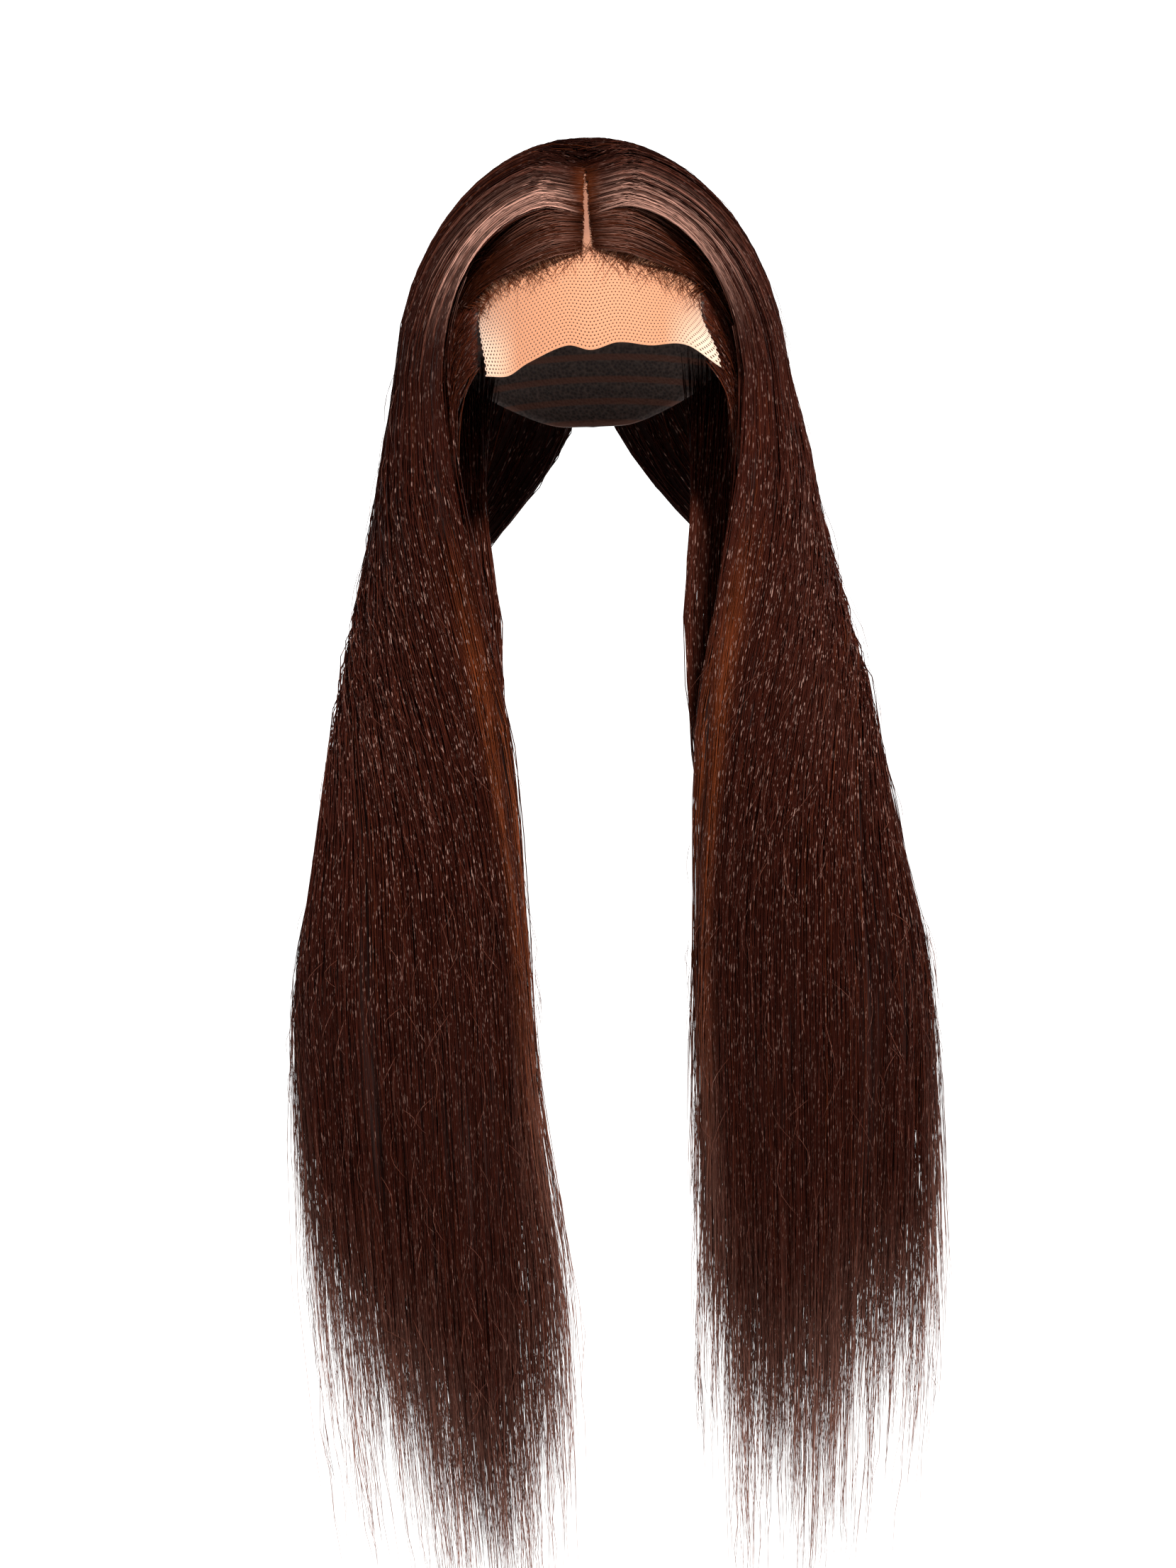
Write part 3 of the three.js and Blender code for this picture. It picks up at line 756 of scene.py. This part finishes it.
def thinness(side, lane0, way):
    """Share of the lighter brown of painted light through single hairs, where the fall thins out and along
    its loose edges.
    """
    half = table_at(HALF_THIN[side], "lane", "z", np.clip(lane0, 0, 1))[:, None]
    edge = 1 - ease(np.minimum(lane0, 1 - lane0), 0.0, LOOSE_EDGE)[:, None]
    return 0.85 * ease(half + LEVEL_STEP * way, -85, 35) + 0.45 * edge * ease(way, 3.8, 5.6)


def clumped(rng, count, clumps, lanes):
    """Clump centres for strands, the number of each one's clump, its own lane and its place in the clump."""
    low, high = lanes
    spacing = (high - low) / clumps
    centres = low + spacing * (np.arange(clumps) + rng.uniform(0.1, 0.9, clumps))
    mine = rng.integers(0, clumps, count)
    off = rng.normal(0, 0.6, count)
    lane = np.clip(centres[mine] + spacing * off, low - 0.005, high + 0.03)
    return centres[mine], mine, lane, off


def fall_layer(side, kind, rng):
    """Long strands of one layer on one side, from their roots to the tips."""
    layer = LAYERS[kind]
    count, clumps = layer["count"], layer["clumps"]
    centre, mine, lane0, off = clumped(rng, count, clumps, layer["lanes"])
    depth0 = mix(*layer["depths"], rng.beta(1.6, 1.1, count)) - 0.07 * np.minimum(off**2, 2.0)
    tip = tips_of(rng, side, lane0, mine)
    first = rng.uniform(*layer["first"], count)[:, None]
    head = mix(first, 1.0, stations(rng, count, layer["head"] + 1)[:, :-1] ** 1.25)
    share = stations(rng, count, layer["fall"])
    fall = mix(-HEAD[2], tip[:, None], 0.6 * share + 0.4 * share**2)
    level = np.concatenate([head, fall], axis=1)
    root = ROOTS[layer["roots"]](rng, lane0, SIDES[side])
    paths = lay_strands(rng, side, level, centre, mine, lane0, depth0, root, 0.5, layer["hang"])
    way = way_of(level)
    shine = streak_lanes(rng, lane0, layer["lanes"])
    # Painted shade: the near-black share darkens the hair on the head.
    colours = strand_colours(rng, rng.normal(0, 0.10, clumps)[mine], (PAINTED_SHADE, 0.8 * (1 - ease(way, 0.4, 1.3))),
                             (AUBURN, auburn_and_edge_light(rng, lane0, way)), (STREAK, streaks(rng, way, shine)),
                             (SHEEN, painted_sheen(rng, lane0, way, shine)), (THIN, thinness(side, lane0, way)))
    radius = taper(level.shape[1], FALL_RADIUS * rng.uniform(0.7, 1.25, count))
    return hair_piece(f"{kind}_strands", side, paths, radius, colours, rng, layer["node"])


def tip_layer(side, rng, count=1850, clumps=120, steps=8):
    """Fine strands of the lower fall that thin out to the ends."""
    centre, mine, lane0, _ = clumped(rng, count, clumps, (0.0, 1.0))
    tip = tips_of(rng, side, lane0, mine)
    level = mix((tip + rng.uniform(90, 180, count))[:, None], tip[:, None], np.linspace(0, 1, steps)[None])
    root = root_on_part(np.clip(lane0, 0, 1))
    paths = lay_strands(rng, side, level, centre, mine, lane0, rng.uniform(0, 1, count), root, 0.8)
    way = way_of(level)
    colours = strand_colours(rng, np.full(count, 0.1), (AUBURN, auburn_and_edge_light(rng, lane0, way)),
                             (THIN, thinness(side, lane0, way)))
    radius = taper(steps, rng.uniform(*RADII["tip"], count), 0.5)
    return hair_piece("tip_strands", side, paths, radius, colours, rng, "closure")


def edge_layer(side, rng, count=190, clumps=24, steps=11):
    """Strands of the inner edge of the fall, which come out from under the curtain beside the neck."""
    centre, mine, lane0, _ = clumped(rng, count, clumps, (0.0, 0.15))
    tip = tips_of(rng, side, lane0, mine)
    level = mix(rng.uniform(-235, -175, count)[:, None], tip[:, None], stations(rng, count, steps))
    paths = lay_strands(rng, side, level, centre, mine, lane0, rng.uniform(0.2, 0.98, count),
                        root_on_part(np.clip(lane0, 0, 1)), 0.5)
    way = way_of(level)
    colours = strand_colours(rng, rng.normal(0, 0.1, count), (AUBURN, auburn_and_edge_light(rng, lane0, way)),
                             (THIN, thinness(side, lane0, way)))
    radius = taper(steps, rng.uniform(*RADII["edge"], count), 0.4)
    return hair_piece("edge_strands", side, paths, radius, colours, rng, "closure")


def under_layer(side, rng):
    """Closed dark core of a side's hair, inside the strands, which ends in points above the thin hair."""
    rows, over_rows, columns = 48, 16, 81
    lane = np.linspace(0.03, 0.985, columns)
    first = mix(0.14, 0.02, ease(lane, *CROWN_FILL))
    half = table_at(HALF_THIN[side], "lane", "z", lane)
    last = -(half + CORE_ABOVE) / LEVEL_STEP + 0.12 * np.sin(lane * 40) + rng.uniform(-0.2, 0.2, columns)
    last = last - 0.5 * (1 - ease(lane, 0.02, 0.2)) - 0.15 * (1 - ease(1 - lane, 0.02, 0.2))
    share = np.linspace(0, 1, rows)
    ear = share[over_rows - 1]
    over = mix(first[:, None], 1.0, share[None, :over_rows] / ear)
    down = mix(1.0, last[:, None], (share[None, over_rows:] - ear) / (1 - ear))
    way = np.concatenate([over, down], axis=1)
    lane = np.broadcast_to(lane[:, None], way.shape)
    thin = 0.31 * ease(way / last[:, None], 0.75, 1.0)
    root = root_on_part(lane[:, 0])
    outer = hair_points(lane, 0.80 - thin, level_of(way), root)
    inner = hair_points(lane, 0.16 + thin, level_of(way), root)
    return core_piece("hair_core", side, outer, inner, "weft")


def fringe_layer(side, rng, count=200, steps=11):
    """Strands under the front edge of the curtain, from the front of the part down into the pocket."""
    lane = np.abs(rng.normal(0, 0.022, count))
    back = rng.random((count, 1))
    pitch = mix(49.0, 33.0, back[:, 0]) + rng.normal(0, 0.6, count)
    off = 1.1 + np.abs(rng.normal(0, 0.6, count)) + 0.9 * ease(pitch, 40.0, 49.0)
    root = lace_direction(np.degrees(off / HEAD[0]), pitch)
    way = 0.8 * stations(rng, count, steps)
    under = ease(way, 0.10, rng.uniform(0.32, 0.6, (count, 1)))
    depth = mix(back * rng.uniform(0.5, 1.0, (count, 1)), 0.05, under) + wave(rng, way, 0.04, 3.0)
    paths = hair_points(lane[:, None] + 0.17 * under, depth, way, root, mix(0.35, 1.0, back))
    # Painted shade of the pocket under the curtain, with a little painted sheen near the roots.
    shine = rng.beta(0.6, 1.2, (count, 1))
    share = 0.18 * shine * ease(way, 0.0, 0.1) * (1 - ease(way, 0.2, 0.45))
    colours = strand_colours(rng, np.zeros(count), (PAINTED_SHADE, 0.6 + 0 * share), (AUBURN, 0.14 + 0 * share),
                             (SHEEN, share))
    radius = taper(steps, rng.uniform(*RADII["fringe"], count), 0.5)
    return hair_piece("fringe_strands", side, paths, radius, colours, rng, "closure")


def hairline(edge, across):
    """Pitch of the front or back edge of the front hair, at degrees across the lace."""
    keys = HAIRLINE["across"]
    return table_at(HAIRLINE, "across", edge, np.clip(across, keys[0], keys[-1]))


def hairline_core(side, rng):
    """Thin dark bed of the front hair, set back from the hairline."""
    rows, columns = 30, 40
    across = np.linspace(1.6, 45.6, columns)
    front = hairline("front", across) - BED_BACK - 4 * np.exp(-((across / 3) ** 2))
    front = front + rng.uniform(-0.9, 0.9, columns)
    pitch = mix(front[None], hairline("back", across)[None] - 8.0, np.linspace(0, 1, rows)[:, None])
    across = np.broadcast_to(across[None], pitch.shape)
    direction = lace_direction(across, pitch)
    outer, inner = (head_point(direction, LACE_WALL + off + 0 * pitch) for off in (0.55, 0.15))
    return core_piece("hairline_core", side, outer, inner, "hairline")


def hairline_layer(side, rng, count=900, steps=9):
    """Front hair rooted between the hairline and the curtain, run back and tucked in under it."""
    at_part = rng.random(count) < 0.13
    across = np.where(at_part, rng.uniform(0.8, 2.6, count), rng.uniform(1.2, LACE_HALF_ACROSS, count))
    front, back = hairline("front", across), hairline("back", across)
    pitch = front + rng.normal(0, 2.0, count) - (front - back + 4) * rng.random(count) ** 1.2
    across = across + 1.0 * ease(pitch, 40.0, 48.0) * (across < 4)
    root = lace_direction(across, pitch)
    t = stations(rng, count, steps)[..., None]
    lane = np.clip(0.03 + across / LACE_HALF_ACROSS * 0.10 + rng.normal(0, 0.05, count), 0.01, 0.32)
    end = round_head(np.radians(mix(TEMPLE_ANGLE, BACK_ANGLE, lane)) + 0.12, 0.12)
    lock = np.clip(across / LACE_HALF_ACROSS * FRONT_LOCKS, 0, FRONT_LOCKS - 1).astype(int)
    lean, tilt, high, shade = rng.normal(0, 1, (4, FRONT_LOCKS))[:, lock]
    pull = lace_direction(across * 1.05 + 9 + 3.5 * lean + rng.normal(0, 1.5, count),
                          pitch - 21 + 5.0 * tilt + rng.normal(0, 2, count))
    bend = root + (pull - root) * 1.2
    way = bezier(root[:, None], bend[:, None], end[:, None], t)
    rise = (rng.uniform(0.9, 3.8, count) * (1 + 0.25 * high))[:, None] * ease(t[..., 0], 0.0, 0.35)
    paths = head_point(unit(way), LACE_WALL + 0.12 + np.maximum(rise, 0) + 1.5 * t[..., 0])
    warm = np.where(rng.random((count, 1)) < 0.4, 0.40, 0.08) * mix(1.6, 0.8, ease(t[..., 0], 0.0, 0.3))
    # Painted highlights light some locks, and painted shade of the pocket under the curtain darkens the rest.
    light = (0.30 * np.maximum(shade, 0) * rng.uniform(0.2, 1.6, count))[:, None] * np.sin(np.pi * t[..., 0])
    colours = strand_colours(rng, rng.normal(0, 0.15, count), (PAINTED_SHADE, 0.90 + 0 * warm), (AUBURN, warm),
                             (STREAK, light))
    radius = taper(steps, rng.uniform(*RADII["hairline"], count), 0.3, 0.8)
    return hair_piece("hairline_strands", side, paths, radius, colours, rng, "hairline")


def temple_layer(side, rng, count=300, steps=8):
    """Hair from the front edge of the cap beside the lace, down behind the curtain."""
    pitch = rng.uniform(44.0, 84.0, count)
    root = lace_direction(rng.uniform(45.2, 50.0, count), pitch)
    angle = np.radians(rng.uniform(58.0, 76.0, count))
    end = round_head(angle, rng.uniform(-0.55, -0.12, count))
    t = stations(rng, count, steps)[..., None]
    bend = mix(root, end, 0.5) + TEMPLE_BEND
    way = bezier(root[:, None], bend[:, None], end[:, None], t)
    rise = rng.uniform(0.6, 5.0, count)[:, None] * ease(t[..., 0], 0.0, 0.5)
    level = np.linalg.norm(way[..., :2], axis=-1, keepdims=True)
    whole = np.linalg.norm(way, axis=-1, keepdims=True)
    paths = head_point(way / np.where(way[..., 2:] < 0, level, whole), CAP_WALL + 0.5 + rise)
    warm = np.where(rng.random((count, 1)) < 0.25, 0.25, 0.05) + 0 * t[..., 0]
    colours = strand_colours(rng, rng.normal(0, 0.15, count), (AUBURN, warm))
    radius = taper(steps, rng.uniform(*RADII["temple"], count), 0.5)
    return hair_piece("temple_strands", side, paths, radius, colours, rng, "hairline")


def neck_layer(side, rng, count=320, steps=9):
    """Shaded hair from behind the ear, down beside the neck and in behind the inner edge of the fall."""
    place = (np.arange(count) + rng.random(count)) / count
    turn = np.radians(mix(139.0, 93.0, place) + rng.uniform(-5.0, 5.0, count))
    near = NECK_IN[side] + 36.0 * place**1.2
    stops = np.stack([
        np.stack([HEAD[0] * np.sin(turn), -HEAD[1] * np.cos(turn), rng.uniform(-130, -104, count)], -1),
        np.stack([near + 6, mix(-10.0, 12.0, place), np.full(count, -170.0)], -1),
        np.stack([near, mix(-40.0, -20.0, place), np.full(count, -225.0)], -1),
        np.stack([near + 2, mix(-64.0, -54.0, place), np.full(count, -290.0)], -1),
        np.stack([near + 8, rng.uniform(-76, -66, count), rng.uniform(-400, -350, count)], -1),
    ])
    along = np.linspace(0, len(stops) - 1, steps)
    knots = np.arange(len(stops))
    weights = np.stack([table_at({"k": knots, "v": row}, "k", "v", along) for row in np.eye(len(stops))])
    paths = np.einsum("ks,kcx->csx", weights, stops) + rng.normal(0, 0.5, (count, steps, 3))
    colours = strand_colours(rng, np.full(count, -0.1), (AUBURN, np.full((count, steps), 0.04)))
    radius = taper(steps, rng.uniform(*RADII["neck"], count), 0.5)
    return hair_piece("neck_strands", side, paths, radius, colours, rng, "weft")


def baby_hair(side, rng, count=300, steps=6):
    """Short soft hairs at the edge of the hairline, most swept back and some lying forward on the lace."""
    across = rng.uniform(0.0, 45.5, count)
    forward = rng.random(count) < 0.3
    pitch = hairline("front", across) + np.abs(rng.normal(0, 2.4, count)) - np.where(forward, 1.5, 0.5)
    t = np.linspace(0, 1, steps)[None]
    reach = np.where(forward, -rng.uniform(2.0, 9.0, count), rng.uniform(2.5, 8.0, count))[:, None]
    sway = rng.normal(0.35, 0.8, count)[:, None]
    a = across[:, None] + np.abs(reach) * sway * t + rng.normal(0, 1.8, count)[:, None] * t**2
    p = pitch[:, None] - reach * t
    lift = rng.uniform(0.1, 1.2, count)[:, None] * np.sin(np.pi * t * 0.8)
    paths = head_point(lace_direction(a, p), LACE_WALL + 0.1 + np.where(forward[:, None], 0.4, 1.0) * lift)
    colours = strand_colours(rng, np.zeros(count), (AUBURN, np.where(forward, 0.6, 0.3)[:, None] + 0 * a))
    radius = taper(steps, rng.uniform(*RADII["baby"], count), 1.0, 0.3)
    return hair_piece("baby_hair", side, paths, radius, colours, rng)


def flyaways(side, rng, count=620, steps=6):
    """Loose fine hairs that stand off the surface and along the edges of the fall."""
    edge = rng.random(count) < 0.3
    lane0 = np.where(edge, np.where(rng.random(count) < 0.5, -0.01, 1.0), rng.uniform(0, 0.9, count))
    start = np.where(edge, rng.uniform(3.7, 6.3, count), rng.uniform(0.12, 6.2, count))
    run = rng.uniform(0.10, 0.42, count) * np.where(start < 1, 0.45, 1.0)
    t = np.linspace(0, 1, steps)[None]
    way = np.clip(start[:, None] + run[:, None] * t, 0.08, 7.05)
    across = np.where(start > 2, 0.034, 0.018)[:, None]
    drift = across * (rng.normal(0, 1, (count, 1)) * t + rng.normal(0, 0.5, (count, 1)) * np.sin(np.pi * t))
    lane = np.clip(lane0[:, None] + drift, -0.05, 1.045)
    stand = rng.uniform(0.0, 0.14, (count, 1)) * np.sin(np.pi * t) + rng.uniform(0, 0.04, (count, 1))
    depth = np.where(rng.random((count, 1)) < 0.25, -stand, 1.0 + stand)
    paths = hair_points(lane, depth, level_of(way), root_on_part(np.clip(lane0, 0, 1)))
    warm = np.where(rng.random((count, 1)) < 0.3, 0.16, 0.04) + 0 * t
    # Painted light on the loose hairs: a pale share of the lighter brown.
    pale = np.where(edge, 0.4, 0.2)[:, None] + 0 * t
    colours = strand_colours(rng, np.full(count, 0.3), (AUBURN, warm), (THIN, pale))
    radius = taper(steps, rng.uniform(*RADII["flyaway"], count), 0.4)
    return hair_piece("flyaway_strands", side, paths, radius, colours, rng)


def make_hair():
    for number, side in enumerate(SIDES):
        rng = np.random.default_rng(SEED + number)
        under_layer(side, rng)
        for kind in LAYERS:
            fall_layer(side, kind, rng)
        for make in (edge_layer, tip_layer, neck_layer, fringe_layer, hairline_core, hairline_layer,
                     temple_layer, baby_hair, flyaways):
            make(side, rng)


# Lace and cap

LACE_TUCK = 0.18
ACROSS_MM = HEAD[0] * 1.06
NET_SIDE = 1.12
NET_WALL = 0.3
PANEL_WALL = 0.4
NET_HEM = 0.25
NET_FROM_PITCH = 47.5
NET_ROWS = 32
NET_LENGTH = NET_ROWS * 1.5 * NET_SIDE
NET_OPEN = (0.35, 0.45)


def lace_point(across, pitch, wall):
    """Point of the lace: on the head, and curling off it towards the free front edge."""
    edge = table_at(LACE_EDGE, "across", "pitch", across)
    curl = ease(pitch, LACE_CURL_PITCH, edge)
    flare = curl * table_at(LACE_EDGE, "across", "flare", across)
    tuck = 1 - LACE_TUCK * curl * ease(-across, 20, LACE_HALF_ACROSS)
    return head_point(lace_direction(across * tuck, pitch), wall + flare)


def net_plan():
    """Six-sided meshes of the net laid flat: their corners, their holes, and which corners each one has."""
    step_x, step_y = NET_SIDE * math.sqrt(3), NET_SIDE * 1.5
    half = math.radians(LACE_HALF_ACROSS) * ACROSS_MM
    turn = np.radians(60 * np.arange(6) + 30)
    hexagon = NET_SIDE * np.stack([np.cos(turn), np.sin(turn)], -1)
    corners, index, holes, meshes = [], {}, [], []
    for j in range(NET_ROWS + 1):
        for i in range(-int(half / step_x) - 1, int(half / step_x) + 2):
            centre = np.array([(i + 0.5 * (j % 2)) * step_x, j * step_y])
            if abs(centre[0]) > half - 0.25 * step_x:
                continue
            ring = []
            for spot in centre + hexagon:
                key = tuple(np.round(20 * spot / NET_SIDE).astype(int))
                if key not in index:
                    index[key] = len(corners)
                    corners.append(spot)
                ring.append(index[key])
            meshes.append(ring)
            holes.append(centre + mix(*NET_OPEN, ease(abs(centre[0]), 0.78 * half, 0.96 * half)) * hexagon)
    return np.array(corners), np.array(holes), np.array(meshes)


def net_faces(rings, corner_count):
    """Triangles of the net: front, back, the walls of its holes and its cut rim."""
    holes = corner_count + np.arange(rings.size).reshape(-1, 6)
    count = corner_count + rings.size
    after = np.roll(np.arange(6), -1)
    front = np.stack([rings, rings[:, after], holes[:, after], holes], -1).reshape(-1, 4)
    back = front[:, ::-1] + count
    walls = np.stack([holes, holes[:, after], holes[:, after] + count, holes + count], -1).reshape(-1, 4)
    edges = np.stack([rings, rings[:, after]], -1).reshape(-1, 2)
    _, where, uses = np.unique(np.sort(edges, axis=1), axis=0, return_inverse=True, return_counts=True)
    rim = edges[uses[where.ravel()] == 1]
    rims = np.stack([rim[:, 1], rim[:, 0], rim[:, 0] + count, rim[:, 1] + count], -1)
    return split_quads(np.concatenate([front, back, walls, rims]))


def lace_net():
    """Open net from the hairline to the free front edge."""
    corners, holes, rings = net_plan()
    flat = np.concatenate([corners, holes.reshape(-1, 2)])
    hem = np.where(np.arange(len(flat)) < len(corners), 0.0, NET_HEM)
    across = np.degrees(flat[:, 0] / ACROSS_MM)
    across = np.clip(across, hem - LACE_HALF_ACROSS, LACE_HALF_ACROSS - hem)
    forward = np.minimum(flat[:, 1], NET_LENGTH - hem) / NET_LENGTH
    pitch = mix(NET_FROM_PITCH, table_at(LACE_EDGE, "across", "pitch", across), forward)
    points = np.concatenate([lace_point(across, pitch, wall) for wall in (LACE_WALL, LACE_WALL - NET_WALL)])
    return points, turned_out(points, net_faces(rings, len(corners)))


def make_lace():
    """Panel under the hair, and in front of it the open net."""
    rows, columns = 40, 60
    pitch, across = np.meshgrid(np.linspace(LACE_BACK_PITCH, NET_FROM_PITCH + 1, rows),
                                np.linspace(-LACE_HALF_ACROSS, LACE_HALF_ACROSS, columns), indexing="ij")
    walls = (LACE_WALL, LACE_WALL - PANEL_WALL)
    panel = np.concatenate([lace_point(across, pitch, wall).reshape(-1, 3) for wall in walls])
    panel_faces = turned_out(panel, sheet_faces(rows, columns))
    net, faces = lace_net()
    triangles = np.concatenate([panel_faces, faces + len(panel)])
    mesh = mesh_from("lace_panel", np.concatenate([panel, net]), triangles)
    piece = finish_piece("lace_panel", mesh, LACE, "lace", "lace_closure")
    return piece


def make_cap():
    """Net dome from the notch of the closure to the rim, with rows of sewn wefts inside."""
    rows, columns = 67, 85
    clear = math.degrees(NOTCH_GAP / HEAD[0])
    half, back = math.radians(LACE_HALF_ACROSS + clear), math.radians(-LACE_BACK_PITCH + clear)
    turn = np.linspace(CAP_FRONT, 360 - CAP_FRONT, columns)
    angle = np.radians(turn)
    sideways = np.clip(math.sin(half) / np.maximum(np.abs(np.sin(angle)), 1e-6), 0, 1)
    first_side = np.where(np.abs(np.sin(angle)) > math.sin(half), np.arcsin(sideways), 9.0)
    behind = np.cos(angle) < -0.02
    first_back = np.where(behind, np.arctan2(math.tan(back), np.maximum(-np.cos(angle), 0.02)), 9.0)
    first = np.minimum(first_side, first_back)
    drop = table_at(CAP_RIM, "angle", "drop", np.minimum(turn, 360 - turn))
    last = np.arccos(np.clip((HEAD[2] - drop) / HEAD[2], -1, 1))
    share = np.linspace(0, 1, rows)[:, None]
    polar = mix(first[None], last[None], share)
    direction = np.stack([np.sin(polar) * np.sin(angle), -np.sin(polar) * np.cos(angle), np.cos(polar)], -1)
    rib = 0.5 + 0.5 * np.cos(2 * np.pi * polar * HEAD[1] / WEFT_ROW)
    hem = ease(share, 0.955, 0.985) + 1 - ease(share, 0.0, 0.03)
    inner = head_point(direction, WEFT_RIB * (1 - rib**3) * (1 - np.clip(hem, 0, 1)))
    outer = head_point(direction, CAP_WALL + 0 * polar)
    mesh = sheet_mesh("cap_dome", outer, inner)
    piece = finish_piece("cap_dome", mesh, CAP, "cap_net", "wig_cap")
    return piece


# Stage

CAMERA_DISTANCE = 6.0
CAMERA_PITCH = 10.5
CAMERA_ROLL = 1.95
METRES_PER_PIXEL = 0.000356
PHOTO_HEIGHT = 2212
SENSOR = 36.0
AIM = Vector((-0.0089, -0.025, -0.3113))
FLOOR_DROP = 0.8
FLOOR_HALF = 60.0


def make_camera():
    pitch = math.radians(CAMERA_PITCH)
    forward = Vector((0, math.cos(pitch), -math.sin(pitch)))
    data = bpy.data.cameras.new("camera")
    data.sensor_width = SENSOR
    data.lens = SENSOR * CAMERA_DISTANCE / METRES_PER_PIXEL / PHOTO_HEIGHT
    data.clip_end = 100
    camera = link("camera", data)
    turn = forward.to_track_quat("-Z", "Y").to_matrix() @ Matrix.Rotation(math.radians(-CAMERA_ROLL), 3, "Z")
    camera.matrix_world = Matrix.Translation(AIM - forward * CAMERA_DISTANCE) @ turn.to_4x4()
    bpy.context.scene.camera = camera


def make_stage():
    low = cad_box[0][2] - FLOOR_DROP
    corners = [(-1, -1), (1, -1), (1, 1), (-1, 1)]
    mesh = bpy.data.meshes.new("floor")
    mesh.from_pydata([(x * FLOOR_HALF, y * FLOOR_HALF, low) for x, y in corners], [], [(0, 1, 2, 3)])
    mesh.materials.append(floor_material())
    link("floor", mesh)

    world = bpy.data.worlds.new("studio")
    world.use_nodes = True
    world.node_tree.nodes["Background"].inputs["Color"].default_value = (1, 1, 1, 1)
    world.node_tree.nodes["Background"].inputs["Strength"].default_value = 0.12
    bpy.context.scene.world = world

    sun = bpy.data.lights.new("key", "SUN")
    sun.energy = 6.5
    sun.angle = math.radians(9)
    key = link("key", sun)
    key.rotation_euler = Vector((-0.25, 0.60, -0.76)).to_track_quat("-Z", "Y").to_euler()

    soft = bpy.data.lights.new("fill", "AREA")
    soft.energy = 12.0
    soft.size = 1.6
    fill = link("fill", soft)
    fill.location = (-1.7, -1.6, 0.5)
    fill.rotation_euler = (Vector((0, 0, -0.3)) - fill.location).to_track_quat("-Z", "Y").to_euler()
    fill.visible_camera = False
    bpy.context.scene.view_settings.view_transform = "Standard"


make_camera()
make_cap()
make_lace()
make_hair()
make_stage()
